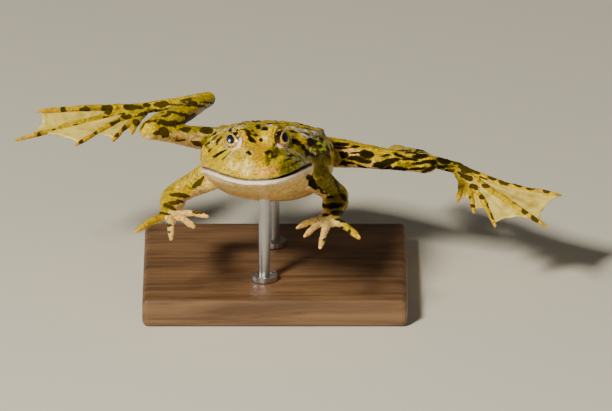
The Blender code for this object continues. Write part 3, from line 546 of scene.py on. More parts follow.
def ellipsoid(bm, centre, radii, turn=Matrix.Identity(3), segments=32, rings=20):
    place = Matrix.Translation(centre) @ turn.to_4x4() @ Matrix.Diagonal((*radii, 1.0))
    bmesh.ops.create_uvsphere(bm, u_segments=segments, v_segments=rings, radius=1.0, matrix=place)


def power(value, exponent):
    """A power that keeps the sign."""
    return math.copysign(abs(value) ** exponent, value)


def body_ring(centre, across, up, half_width, top, bottom, exponent):
    """A rounded section with its own height above and below the middle."""
    ring = []
    for i in range(RING_SIDES):
        turn = 2 * math.pi * i / RING_SIDES
        x = half_width * power(math.cos(turn), 2 / exponent)
        rise = power(math.sin(turn), 2 / exponent)
        ring.append(centre + across * x + up * rise * (top if rise > 0 else -bottom))
    return ring


def head_matrix():
    turn = (
        Matrix.Rotation(HEAD_YAW, 3, "Z")
        @ Matrix.Rotation(-HEAD_PITCH, 3, "X")
        @ Matrix.Rotation(-HEAD_ROLL, 3, "Y")
    )
    return turn.to_4x4()


HEAD = head_matrix()
HEAD_TURN = HEAD.to_3x3()


def head_point(place, sign=1.0):
    """A place on the head, mirrored to the right by a sign of -1."""
    return HEAD @ Vector((place.x * sign, place.y, place.z))


def mouth_height(back):
    return float(smooth_table(MOUTH_LINE, back)[0])


def eye_turn(sign):
    """The turn of an eye, its local Z along the gaze and its local Y back along the head."""
    gaze = HEAD_TURN @ Vector((EYE_GAZE.x * sign, EYE_GAZE.y, EYE_GAZE.z)).normalized()
    across = (HEAD_TURN @ Vector((0, 1, 0))).cross(gaze).normalized()
    return Matrix((across, gaze.cross(across), gaze)).transposed()


def torso_frame():
    along = (TORSO_END - TORSO_START).normalized()
    across = along.cross(Vector((0, 0, 1))).normalized()
    return along, across, across.cross(along).normalized()


def torso_point(distance, across_share=0.0, up_share=0.0):
    """A point in the torso, as shares of its half width and of its height at a distance."""
    along, across, up = torso_frame()
    half_width, top, bottom = smooth_table(TORSO_STATIONS, distance)
    rise = up_share * (top if up_share > 0 else -bottom)
    return TORSO_START + along * distance + across * across_share * half_width + up * rise


def add_head(bm):
    rings = []
    last = HEAD_STATIONS[-1][0]
    across, up = HEAD_TURN @ Vector((1, 0, 0)), HEAD_TURN @ Vector((0, 0, 1))
    for i in range(RING_STEPS + 1):
        back = last * (i / RING_STEPS) ** 1.5
        half = smooth_table(HEAD_STATIONS, back)
        rings.append(body_ring(HEAD @ Vector((0, back, 0)), across, up, *half, HEAD_POWER))
    middle = HEAD @ Vector((0, -0.7, 1.0))
    loft(bm, [[middle.lerp(point, 0.6) for point in rings[0]]] + rings)


def add_lips(bm):
    """A low roll along each side of the mouth line, from corner to corner."""
    last = MOUTH_LINE[-1][0]
    for rise in (LIP_RADIUS, -LIP_RADIUS):
        points = []
        for i in range(-16, 17):
            back = last * (abs(i) / 16) ** 1.6
            half_width = float(smooth_table(HEAD_STATIONS, back)[0])
            x = math.copysign(half_width - 0.45, i) if i else 0.0
            place = Vector((x, back, mouth_height(back) + rise))
            if abs(i) < 3:
                place.x = i * half_width / 3.2
                place.y = 0.2 + 0.12 * i * i
            points.append(HEAD @ place)
        tube(bm, points, ((0.0, LIP_RADIUS, LIP_RADIUS), (1.0, LIP_RADIUS, LIP_RADIUS)), 12, 80)


def add_orbits(bm):
    centre = EYE_PLACE + Vector((-0.5, 0.3, 0.0))
    radii = EYE_RADII + Vector((1, 1, 1)) * LID_THICKNESS
    for sign in (-1, 1):
        ellipsoid(bm, head_point(centre, sign), radii, HEAD_TURN)


def add_torso(bm):
    along, across, up = torso_frame()
    first, last = TORSO_STATIONS[0][0], TORSO_STATIONS[-1][0]
    rings = []
    for i in range(RING_STEPS + 1):
        distance = first + (last - first) * i / RING_STEPS
        half = smooth_table(TORSO_STATIONS, distance)
        rings.append(body_ring(TORSO_START + along * distance, across, up, *half, SECTION_POWER))
    vent = TORSO_START + along * (last + 3.0)
    rings.append([vent.lerp(point, 0.45) for point in rings[-1]])
    loft(bm, rings)


def add_folds(bm):
    """The two ridges that run from behind the eyes to the hips, and the short one over each ear."""
    rise = (1 - FOLD_PLACE**SECTION_POWER) ** (1 / SECTION_POWER) - FOLD_SUNK
    for sign in (-1, 1):
        over_ear = [head_point(place, sign) for place in EAR_FOLD]
        tube(bm, over_ear, ((0.0, EAR_FOLD_RADIUS), (1.0, EAR_FOLD_RADIUS)), 12, 40)
        first, last = FOLD_RUN
        points = [
            torso_point(first + (last - first) * i / 8, sign * FOLD_PLACE, rise) for i in range(9)
        ]
        tube(bm, points, FOLD_STATIONS, 12, 60)


def add_limbs(bm):
    for side in SIDES:
        joints = JOINTS[side]
        for limb, (start, end) in LIMB_ENDS.items():
            near, far = joints[start], joints[end]
            tube(bm, (near, near.lerp(far, 0.5), far), LIMB_STATIONS[limb], 40, 30)


def finger_paths(side):
    """The middle of the palm, and the path of each finger from it: root, bend and tip."""
    wrist = JOINTS[side]["wrist"]
    spread = sum((offset.normalized() for offset in FINGER_TIPS[side]), Vector()).normalized()
    paths = []
    for offset in FINGER_TIPS[side]:
        root = wrist + spread * DIGIT_ROOT_REACHES[0] + offset.normalized() * DIGIT_ROOT_REACHES[1]
        tip = wrist + offset
        paths.append((root, root.lerp(tip, 0.5) + FINGER_BEND, tip))
    return wrist + spread * PALM_REACH, paths


def toe_paths(side):
    base = JOINTS[side]["foot"]
    forward = (base - JOINTS[side]["ankle"]).normalized()
    paths = []
    for offset, bend in zip(TOE_TIPS[side], TOE_BENDS[side]):
        root = base + forward * TOE_ROOT_REACHES[0] + offset.normalized() * TOE_ROOT_REACHES[1]
        tip = base + offset
        paths.append((root, root.lerp(tip, 0.5) + bend, tip))
    return paths


def path_point(path, place):
    return Vector(smooth_table(((0.0, *path[0]), (0.5, *path[1]), (1.0, *path[2])), place))


def knuckled(stations, count, swell):
    """The radii of a digit with a soft swelling at each of its joints."""
    last = stations[-1][0]
    rows = []
    for i in range(25):
        share = i / 24
        radius = float(smooth_table(stations, share * last)[0])
        wave = math.cos(2 * math.pi * count * share)
        rows.append((share * last, radius * (1 + swell * wave)))
    return tuple(rows)


def add_hands_and_feet(bm):
    for side in SIDES:
        palm, fingers = finger_paths(side)
        ellipsoid(bm, palm, PALM_RADII)
        for path in fingers:
            tube(bm, path, knuckled(FINGER_RADII, 2.5, KNUCKLE_SWELL), 16, 24)
        for path in toe_paths(side):
            tube(bm, path, knuckled(TOE_RADII, 3.5, KNUCKLE_SWELL), 16, 36)


# Meshes

def new_object(name, bm):
    bmesh.ops.recalc_face_normals(bm, faces=bm.faces)
    mesh = bpy.data.meshes.new(name)
    bm.to_mesh(mesh)
    bm.free()
    made = bpy.data.objects.new(name, mesh)
    bpy.context.scene.collection.objects.link(made)
    return made


def apply_modifiers(thing):
    bpy.context.view_layer.update()
    graph = bpy.context.evaluated_depsgraph_get()
    mesh = bpy.data.meshes.new_from_object(thing.evaluated_get(graph))
    thing.modifiers.clear()
    thing.data = mesh


def points_of(mesh):
    points = np.empty(len(mesh.vertices) * 3)
    mesh.vertices.foreach_get("co", points)
    return points.reshape(-1, 3)


def normals_of(mesh):
    normals = np.empty(len(mesh.vertices) * 3)
    mesh.vertex_normals.foreach_get("vector", normals)
    return normals.reshape(-1, 3)


def set_points(mesh, points):
    mesh.vertices.foreach_set("co", points.ravel())
    mesh.update()


def store_field(mesh, name, values):
    field = mesh.attributes.new(name, "FLOAT", "POINT")
    field.data.foreach_set("value", np.asarray(values, dtype=np.float32))


def step(low, high, values):
    """0 below the low value and 1 above the high one, with a smooth rise between."""
    t = np.clip((values - low) / (high - low), 0.0, 1.0)
    return t * t * (3 - 2 * t)


LATTICE_TURN = np.array(
    Matrix.Rotation(0.7, 3, "X") @ Matrix.Rotation(0.5, 3, "Y") @ Matrix.Rotation(0.9, 3, "Z"))


def lattice_noise(points, size, seed):
    """Smooth noise from 0 to 1 over a tilted lattice of the given size, the same on each run."""
    scaled = points @ LATTICE_TURN / size + 1000.0
    cell = np.floor(scaled).astype(np.int64)
    part = scaled - cell
    part = part * part * (3 - 2 * part)
    total = np.zeros(len(points))
    for dx in (0, 1):
        for dy in (0, 1):
            for dz in (0, 1):
                mixed = (cell[:, 0] + dx) * 73856093 ^ (cell[:, 1] + dy) * 19349663
                mixed = mixed ^ (cell[:, 2] + dz) * 83492791 ^ seed * 2654435761
                mixed = (mixed ^ (mixed >> 13)) * 1274126177 & 0x7FFFFFFF
                value = (mixed ^ (mixed >> 16)) % 65536 / 65535.0
                weight = (part[:, 0] if dx else 1 - part[:, 0])
                weight = weight * (part[:, 1] if dy else 1 - part[:, 1])
                weight = weight * (part[:, 2] if dz else 1 - part[:, 2])
                total += value * weight
    return total


def bell(values, middle, spread):
    """1 where the values meet the middle, falling softly to 0 past the spread."""
    return np.exp(-(((values - middle) / spread) ** 2))


def on_digits(points, side, joint, before, reach):
    """Which points lie on the digits, past the wrist or past the foot's root."""
    root = JOINTS[side][joint]
    forward = np.array((root - JOINTS[side][before]).normalized())
    away = points - np.array(root)
    length = np.linalg.norm(away, axis=1)
    return (away @ forward > 1.0) & (length > 5.0) & (length < reach) & (np.abs(away[:, 2]) < 9.0)


def smooth_where(thing, name, weights, iterations):
    """Smooth a surface by a weight for each of its points."""
    group = thing.vertex_groups.new(name=name)
    for weight in np.unique(weights[weights > 0]):
        group.add(np.nonzero(weights == weight)[0].tolist(), float(weight), "REPLACE")
    smooth = thing.modifiers.new(name, "SMOOTH")
    smooth.factor = 0.5
    smooth.iterations = iterations
    smooth.vertex_group = name


def flesh():
    """The whole body as one closed surface, blended where its lengths meet."""
    bm = bmesh.new()
    for add in (add_head, add_lips, add_orbits, add_torso, add_folds, add_limbs, add_hands_and_feet):
        add(bm)
    body = new_object("frog_skin", bm)
    remesh = body.modifiers.new("Remesh", "REMESH")
    remesh.mode = "VOXEL"
    remesh.voxel_size = VOXEL
    apply_modifiers(body)
    points = points_of(body.data)
    blend = np.zeros(len(points))
    calm = np.ones(len(points))
    for side in SIDES:
        for joint, reach in BLEND_REACHES.items():
            away = np.linalg.norm(points - np.array(JOINTS[side][joint]), axis=1)
            blend = np.maximum(blend, 1 - step(reach * 0.6, reach, away))
        for joint, before, reach in DIGIT_REACHES:
            calm[on_digits(points, side, joint, before, reach)] = DIGIT_SMOOTHING
    smooth_where(body, "blend", np.round(blend * 10) / 10, BLENDING)
    smooth_where(body, "calm", calm, SMOOTHING)
    apply_modifiers(body)
    body.vertex_groups.clear()
    return body


# Where each point of the skin lies

def to_head(points):
    return points @ np.array(HEAD_TURN)


def table_at(stations, places):
    """Many places at once in a table of stations, on straight lines."""
    rows = np.array(stations, dtype=float)
    places = np.clip(places, rows[0, 0], rows[-1, 0])
    return [np.interp(places, rows[:, 0], rows[:, column]) for column in range(1, rows.shape[1])]


def segment_place(points, start, end):
    """How far along a segment each point is, and its offset from the segment."""
    start, end = np.array(start), np.array(end)
    run = end - start
    along = (points - start) @ run / (run @ run)
    offset = points - start - np.clip(along, 0, 1)[:, None] * run
    return along, offset


def locate(points):
    """Name the part that each point belongs to, its place along it and how far up its side it is."""
    count = len(points)
    best = np.full(count, 1e9)
    part = np.zeros(count, dtype=int)
    along_part = np.zeros(count)
    rise = np.zeros(count)
    names = []

    def offer(name, distance, along, up_share):
        nonlocal best
        names.append(name)
        closer = distance < best
        best = np.where(closer, distance, best)
        part[closer] = len(names) - 1
        along_part[closer] = along[closer]
        rise[closer] = up_share[closer]

    local = to_head(points)
    half_width, top, bottom = table_at(HEAD_STATIONS, local[:, 1])
    height = np.where(local[:, 2] > 0, top, -bottom)
    size = np.sqrt((local[:, 0] / half_width) ** 2 + (local[:, 2] / height) ** 2)
    beyond = np.maximum(local[:, 1] - 31.0, 0)
    offer("head", np.abs(size - 1) * 10 + beyond * 2, local[:, 1], local[:, 2] / height)
    along, across, up = (np.array(v) for v in torso_frame())
    away = points - np.array(TORSO_START)
    distance = away @ along
    x, z = away @ across, away @ up
    half_width, top, bottom = table_at(TORSO_STATIONS, distance)
    height = np.where(z > 0, top, -bottom)
    size = (np.abs(x) / half_width) ** SECTION_POWER + (np.abs(z) / height) ** SECTION_POWER
    size = size ** (1 / SECTION_POWER)
    before = np.maximum(-distance, 0)
    offer("torso", np.abs(size - 1) * 12 + before * 2, distance, z / height)
    for side in SIDES:
        joints = JOINTS[side]
        for limb, (start, end) in LIMB_ENDS.items():
            place, offset = segment_place(points, joints[start], joints[end])
            half_width, half_height = table_at(LIMB_STATIONS[limb], place)
            reach = np.linalg.norm(offset, axis=1)
            radius = (half_width + half_height) / 2
            back = np.array((LIMB_BACKS[limb].x * SIGN[side], *LIMB_BACKS[limb].yz))
            distance = np.abs(reach - radius) + 0.15 * radius
            offer(f"{limb}_{side}", distance, place, offset @ back / radius)
        digits = [(f"finger_{i}", p, FINGER_RADII) for i, p in enumerate(finger_paths(side)[1])]
        digits += [(f"toe_{i}", p, TOE_RADII) for i, p in enumerate(toe_paths(side))]
        for digit, path, stations in digits:
            first, offset = segment_place(points, path[0], path[1])
            second, beyond = segment_place(points, path[1], path[2])
            outer = np.linalg.norm(beyond, axis=1) < np.linalg.norm(offset, axis=1)
            place = np.where(outer, 0.5 + second / 2, first / 2)
            offset = np.where(outer[:, None], beyond, offset)
            (radius,) = table_at(stations, place)
            reach = np.linalg.norm(offset, axis=1)
            offer(f"{digit}_{side}", np.maximum(reach - radius * 1.3, 0) * 2, place,
                  offset[:, 2] / radius)
    return names, part, along_part, rise


# Sculpting

def belongs(names, part, starts):
    """Which points lie on the parts whose names start with the given words."""
    return np.isin(part, [i for i, name in enumerate(names) if name.startswith(starts)])


def refine_face(mesh):
    """Part the faces near the mouth line, eyes and nostrils, so that their edges stay crisp."""
    bm = bmesh.new()
    bm.from_mesh(mesh)
    for reach in FINE_REACHES:
        bm.verts.index_update()
        points = np.array([v.co for v in bm.verts])
        local = to_head(points)
        (line,) = table_at(MOUTH_LINE, local[:, 1])
        fine = (local[:, 1] < 28.0) & (np.abs(local[:, 2] + 0.6 - line) < reach)
        for sign in (-1, 1):
            away = (points - np.array(head_point(EYE_PLACE, sign))) @ np.array(eye_turn(sign))
            size = np.linalg.norm(away, axis=1)
            fine |= (size < 6.0) & (away[:, 2] > size * 0.15)
            hole = np.array(head_point(NOSTRIL_PLACE, sign))
            fine |= np.linalg.norm(points - hole, axis=1) < 2.0
        edges = [e for e in bm.edges if fine[e.verts[0].index] and fine[e.verts[1].index]]
        bmesh.ops.subdivide_edges(bm, edges=edges, cuts=1, use_grid_fill=True)
        fresh = [v for v in bm.verts if v.index < 0 or v.index >= len(fine) or fine[v.index]]
        bmesh.ops.smooth_vert(
            bm, verts=fresh, factor=0.5, use_axis_x=True, use_axis_y=True, use_axis_z=True)
    bm.to_mesh(mesh)
    bm.free()


def ridge_near(local, sign, start, end, width):
    """A soft rise along a line on one side of the head."""
    start, end = (np.array((p.x * sign, p.y, p.z)) for p in (start, end))
    _, offset = segment_place(local, start, end)
    return bell(np.linalg.norm(offset, axis=1), 0.0, width)


def deepen(marks, kind, values):
    marks[kind] = np.maximum(marks[kind], values)


def carve_mouth(local, normals, moved, marks):
    """Draw the mouth line as a groove, and mark how far each point near it is above the line."""
    (line,) = table_at(MOUTH_LINE, local[:, 1])
    gap = local[:, 2] - line
    gap = np.where((local[:, 1] < 27.0) & (np.abs(gap) < 3.5), gap, 9.0)
    width = GROOVE_WIDTHS[0] + (GROOVE_WIDTHS[1] - GROOVE_WIDTHS[0]) * step(3.0, 9.0, local[:, 0])
    groove = bell(gap, 0.0, width) * (1 - step(24.0, 27.0, local[:, 1]))
    moved -= normals * (GROOVE_DEPTH * groove)[:, None]
    marks["mouth"] = groove
    marks["lip"] = gap


def open_eye(points, moved, marks, side):
    """Sink the skin inside the lids, roll their edge, and mark its white and its dark rim."""
    sign = SIGN[side]
    spin = np.array(eye_turn(sign))
    centre = np.array(head_point(EYE_PLACE, sign))
    radii = np.array(EYE_RADII.zyx)
    shape = (points - centre) @ spin / radii
    size = np.linalg.norm(shape, axis=1)
    turned = np.degrees(np.arccos(np.clip(shape[:, 2] / np.maximum(size, 1e-6), -1, 1)))
    angle = np.arctan2(shape[:, 0], shape[:, 1])
    opening, more_down, more_back = EYE_OPENING
    past = turned - (opening + more_down * sign * np.sin(angle) + more_back * np.cos(angle))

    rim = 1.0 + LID_ROLL * bell(past, 3.0, 4.5)
    wanted = np.where(past < 0, LID_SUNK + (rim - LID_SUNK) * step(-6.0, 0.0, past), rim)
    inside = (size < 1.9) & (past < 14.0)
    target = size + (wanted - size) * (1 - step(3.0, 14.0, past))
    pushed = centre + (shape * (target / np.maximum(size, 1e-6))[:, None] * radii) @ spin.T
    moved[inside] = pushed[inside]

    on_lid = size < 1.4
    lid = on_lid * bell(past, *LID_EDGE[side])
    to_front, down, start, full = LID_LOW[side]
    low = to_front * -np.cos(angle) + down * sign * np.sin(angle)
    lower = step(start, full, low)
    breadth = WHITE_BREADTH[side]
    white = on_lid * step(-2.5, -1.0, past) * (1 - step(breadth, breadth + 1.2, past))
    deepen(marks, "lid", lid)
    deepen(marks, "white_lid", lower * white)
    dark = lid * (1 - lower)
    if side == "left":
        dark *= 1 + 1.2 * step(0.2, 0.6, -np.cos(angle))
        outline = (size < 1.6) * bell(past, 7.5, 4.0)
        deepen(marks, "dark_lid", 2.2 * outline * step(0.2, 0.5, low))
    deepen(marks, "dark_lid", dark)


def carve_face(points, normals):
    """Open the lids, draw the mouth line, pierce the nostrils and sink the ears."""
    local = to_head(points)
    moved = points.copy()
    marks = {kind: np.zeros(len(points)) for kind in ("lid", "white_lid", "dark_lid", "nostril")}
    carve_mouth(local, normals, moved, marks)
    for side in SIDES:
        sign = SIGN[side]
        open_eye(points, moved, marks, side)
        lift = sum(height * ridge_near(local, sign, *line) for *line, height in SNOUT_LINES)
        hole = np.array(head_point(NOSTRIL_PLACE, sign))
        reach = np.linalg.norm((points - hole) * np.array((1.0, 0.8, 1.0)), axis=1)
        lift -= NOSTRIL_DEPTH * bell(reach, 0.0, NOSTRIL_RADIUS)
        lift += NOSTRIL_RIM * bell(reach, 2 * NOSTRIL_RADIUS, NOSTRIL_RADIUS)
        deepen(marks, "nostril", bell(reach, 0.0, 1.1 * NOSTRIL_RADIUS))
        reach = np.linalg.norm(points - np.array(head_point(EAR_PLACE, sign)), axis=1)
        lift -= EAR_DEPTH * (1 - step(EAR_RADIUS - 0.8, EAR_RADIUS, reach))
        lift += EAR_RIM * bell(reach, EAR_RADIUS, 0.45)
        moved += normals * lift[:, None]
    return moved, marks


def roughen(points, normals, names, part, rise):
    """Warts and fine grain, strongest on the back and thighs."""
    chance = np.random.default_rng(7)
    back = belongs(names, part, ("torso", "head")) & (rise > 0.25)
    places = {
        "torso": back & belongs(names, part, "torso"),
        "limbs": (rise > 0.2) & ~back,
        "head": back & belongs(names, part, "head"),
    }
    height = np.zeros(len(points))
    tree = KDTree(len(points))
    for i, point in enumerate(points):
        tree.insert(point, i)
    tree.balance()
    for name, count, low, high, lift in WARTS:
        chosen = chance.choice(np.nonzero(places[name])[0], count, replace=False)
        for i in chosen:
            radius = chance.uniform(low, high)
            for _, j, reach in tree.find_range(points[i], radius * 2):
                height[j] = max(height[j], lift * math.exp(-((reach / radius) ** 2)))
    grain = lattice_noise(points, 0.9, 3) - 0.5 + 0.5 * (lattice_noise(points, 0.45, 4) - 0.5)
    swell = lattice_noise(points, 5.0, 5) - 0.5 + 0.6 * (lattice_noise(points, 2.2, 6) - 0.5)
    return points + normals * (height + GRAIN_HEIGHT * grain + SWELL_HEIGHT * swell)[:, None]


# Markings

def spot_field(points, spots):
    """How deep each point lies in the nearest of some spots, in millimetres inside its edge."""
    field = np.full(len(points), NO_MARK)
    wander = 1.6 * (lattice_noise(points, 2.2, 71) - 0.5)
    for place, radius in spots:
        reach = np.linalg.norm(points - np.array(place), axis=1)
        field = np.maximum(field, radius - reach + wander)
    return field


def body_spots():
    """Dark spots on the back, in loose rows that seeded chance shifts."""
    chance = np.random.default_rng(21)
    spots = []
    for row in range(-1, 8):
        for column in (-0.8, -0.45, -0.1, 0.25, 0.6, 0.92):
            distance = 2.0 + row * 6.4 + chance.uniform(-2.2, 2.2)
            share = np.clip(column + chance.uniform(-0.15, 0.15), -0.97, 0.97)
            rise = (1 - abs(share) ** SECTION_POWER) ** (1 / SECTION_POWER)
            place = torso_point(max(distance, -3.0), share, rise)
            spots.append((place, chance.uniform(1.1, 2.5)))
    return spots


def seen_from_front(points):
    """Where each point is seen from the front, across and above the middle of the mouth."""
    high = points[:, 1] * math.sin(CAMERA_ELEVATION) + points[:, 2] * math.cos(CAMERA_ELEVATION)
    return points[:, 0] / PIXEL, high / PIXEL


def mark_depth(seen, mark):
    """How deep in a mark each point is: 1 in its middle, 0 on its edge."""
    across, above, half_length, half_width, tilt = mark[:5]
    turn = math.radians(tilt)
    x, y = seen[0] - across, seen[1] - above
    along = x * math.cos(turn) + y * math.sin(turn)
    aside = y * math.cos(turn) - x * math.sin(turn)
    return 1 - np.sqrt((along / half_length) ** 2 + (aside / half_width) ** 2)


def wandered(points):
    """Where each point is seen from the front, shifted a little to and fro over the skin."""
    across, above = seen_from_front(points)
    for size, reach, seed in WANDER:
        across = across + reach * (2 * lattice_noise(points, size, seed) - 1)
        above = above + reach * (2 * lattice_noise(points, size, seed + 1) - 1)
    return across, above


def marks_field(seen, marks):
    """The deepest of some marks at each point, in millimetres inside their edges."""
    field = np.full(len(seen[0]), NO_MARK)
    for mark in marks:
        size = math.sqrt(mark[2] * mark[3]) * PIXEL
        field = np.maximum(field, mark_depth(seen, mark) * size + MARK_SPREAD)
    return field


def tone_field(seen, name, where):
    """The strongest of a tone's patches at each point of some parts."""
    total = np.zeros(len(seen[0]))
    for mark in TONES[name]:
        total = np.maximum(total, mark[5] * step(-0.25, 0.5, mark_depth(seen, mark)))
    return total * where


def ring_field(points, along, rise, bars, reach, seed):
    """Bars across a limb, which fade out on its underside, in millimetres inside their edges."""
    ring = np.full(len(points), NO_MARK)
    wander = (lattice_noise(points, 2.5, seed) - 0.5) * 0.12
    for place, half in bars:
        ring = np.maximum(ring, (half * 1.1 - np.abs(along + wander - place)) * reach)
    return np.maximum(ring - step(0.1, -0.6, rise) * 2.0, NO_MARK)


def markings(points, normals, names, part, along, rise):
    """The dark marks: those seen in front where they are, and seeded ones behind."""
    seen = wandered(points)
    view = np.array((0.0, -math.cos(CAMERA_ELEVATION), math.sin(CAMERA_ELEVATION)))
    facing = normals @ view > SEEN_FACING
    torso, head = belongs(names, part, "torso"), belongs(names, part, "head")
    field = spot_field(points, body_spots())
    field = np.where((torso | head) & (rise > -0.45), field, NO_MARK)
    face = marks_field(seen, FACE_MARKS)
    face = np.minimum(face, -marks_field(seen, SPARKS + CLEARINGS))
    front = head | (torso & (points[:, 1] < SEEN_FACE_DEPTH))
    field = np.where(front & facing, face, np.where(head, NO_MARK, field))
    for index, name in enumerate(names):
        if name in ("head", "torso"):
            continue
        here = part == index
        limb, side = name.rsplit("_", 1)
        kind = limb.split("_")[0]
        if kind in DIGIT_BARS:
            bars = DIGIT_BARS[kind][int(limb[-1])]
        else:
            bars = LIMB_BARS[limb]
        placed = (ARM_MARKS if kind in ("upper", "forearm", "finger") else LEG_MARKS)[side]
        marks = marks_field((seen[0][here], seen[1][here]), placed)
        reach = BAR_REACHES.get(kind, LIMB_BAR_REACH)
        rings = ring_field(points[here], along[here], rise[here], bars, reach, 11 + index)
        field[here] = np.where(facing[here], marks, rings)
    return field


# Materials

class Nodes:
    """A short way to write a material's nodes."""

    def __init__(self, name):
        self.material = bpy.data.materials.new(name)
        self.material.use_nodes = True
        self.tree = self.material.node_tree
        self.shader = self.tree.nodes["Principled BSDF"]

    def add(self, kind, **values):
        node = self.tree.nodes.new(kind)
        for key, value in values.items():
            setattr(node, key, value)
        return node

    def link(self, out, into):
        self.tree.links.new(out, into)

    def feed(self, value, socket):
        if isinstance(value, bpy.types.NodeSocket):
            self.link(value, socket)
        else:
            socket.default_value = value

    def field(self, name):
        return self.add("ShaderNodeAttribute", attribute_name=name).outputs["Fac"]

    def place(self):
        return self.add("ShaderNodeTexCoord").outputs["Object"]

    def noise(self, scale, detail=3.0, roughness=0.55, distortion=0.0, vector=None):
        node = self.add("ShaderNodeTexNoise")
        self.link(vector or self.place(), node.inputs["Vector"])
        node.inputs["Scale"].default_value = scale
        node.inputs["Detail"].default_value = detail
        node.inputs["Roughness"].default_value = roughness
        node.inputs["Distortion"].default_value = distortion
        return node.outputs["Fac"]

    def stretched(self, *scales):
        """The place on the piece, drawn out along its axes."""
        node = self.add("ShaderNodeMapping")
        self.link(self.place(), node.inputs["Vector"])
        node.inputs["Scale"].default_value = scales
        return node.outputs["Vector"]

    def maths(self, operation, a, b=0.0):
        node = self.add("ShaderNodeMath", operation=operation)
        self.feed(a, node.inputs[0])
        self.feed(b, node.inputs[1])
        return node.outputs[0]

    def plus(self, a, b):
        return self.maths("ADD", a, b)

    def times(self, a, b):
        return self.maths("MULTIPLY", a, b)

    def swing(self, noise, reach):
        """A noise from 0 to 1 as a swing to both sides of 0."""
        return self.times(self.maths("SUBTRACT", noise, 0.5), reach)

    def remap(self, value, low, high, out_low=0.0, out_high=1.0):
        node = self.add("ShaderNodeMapRange", interpolation_type="SMOOTHSTEP")
        self.feed(value, node.inputs["Value"])
        limits = {"From Min": low, "From Max": high, "To Min": out_low, "To Max": out_high}
        for key, number in limits.items():
            node.inputs[key].default_value = number
        return node.outputs["Result"]

    def mix(self, share, a, b, blend="MIX"):
        node = self.add("ShaderNodeMix", data_type="RGBA", blend_type=blend)
        self.feed(share, node.inputs["Factor"])
        self.feed((*a, 1.0) if isinstance(a, tuple) else a, node.inputs["A"])
        self.feed((*b, 1.0) if isinstance(b, tuple) else b, node.inputs["B"])
        return node.outputs["Result"]

    def layers(self, colour, *coats):
        """Lay coats over a colour, each given with its share."""
        for share, coat in coats:
            colour = self.mix(share, colour, coat)
        return colour

    def shade(self, values):
        for name, value in values.items():
            self.feed(value, self.shader.inputs[name])

    def bump(self, height, strength, distance):
        node = self.add("ShaderNodeBump")
        node.inputs["Strength"].default_value = strength
        node.inputs["Distance"].default_value = distance
        self.link(height, node.inputs["Height"])
        self.link(node.outputs["Normal"], self.shader.inputs["Normal"])


# Colours
YELLOW = (0.56, 0.385, 0.0)
BRIGHT = (0.58, 0.425, 0.0)
GOLD = (0.56, 0.29, 0.0)
GREEN = (0.20, 0.19, 0.0)
OLIVE_AND_SHADE = (0.075, 0.06, 0.0)
CREAM = (0.82, 0.59, 0.21)
PINK = (0.80, 0.38, 0.09)
ORANGE = (0.80, 0.40, 0.01)
RUST = (0.40, 0.12, 0.0)
GREY_AND_GLINT = (0.34, 0.33, 0.36)
DARK = (0.004, 0.004, 0.001)
BROWN = (0.05, 0.03, 0.003)
# The brown of the marks on the feet, and of those painted lighter as lit on the sunlit side
BARK = (0.085, 0.06, 0.0)
WHITE = (0.92, 0.80, 0.66)
# Colour of the painted highlights, and of the pale skin of the ear
SHEEN = (0.95, 0.76, 0.34)
LIME = (0.75, 0.86, 0.0)
SKY_REFLECTION = (0.72, 0.68, 0.74)
FLECK = (0.74, 0.57, 0.0)
WEB_LIGHT = (0.85, 0.67, 0.17)
WEB_DARK = (0.52, 0.39, 0.05)
IRIS = (0.70, 0.44, 0.05)
IRIS_NET = (0.012, 0.006, 0.003)
IRIS_RIM = (0.78, 0.50, 0.06)
IRIS_CAP = (0.62, 0.43, 0.04)
IRIS_STREAK = (0.20, 0.03, 0.0)
# Pupil black, tinted navy as a painted reflection of the sky
PUPIL_NAVY_REFLECTION = (0.001, 0.002, 0.012)
WOOD_DARK = (0.085, 0.042, 0.02)
WOOD_LIGHT = (0.20, 0.11, 0.055)
WOOD_PORE = (0.03, 0.014, 0.008)
STEEL_DARK = (0.42, 0.42, 0.43)
STEEL_LIGHT = (0.62, 0.62, 0.63)
FLOOR_DARK = (0.60, 0.58, 0.53)
FLOOR_LIGHT = (0.64, 0.62, 0.57)


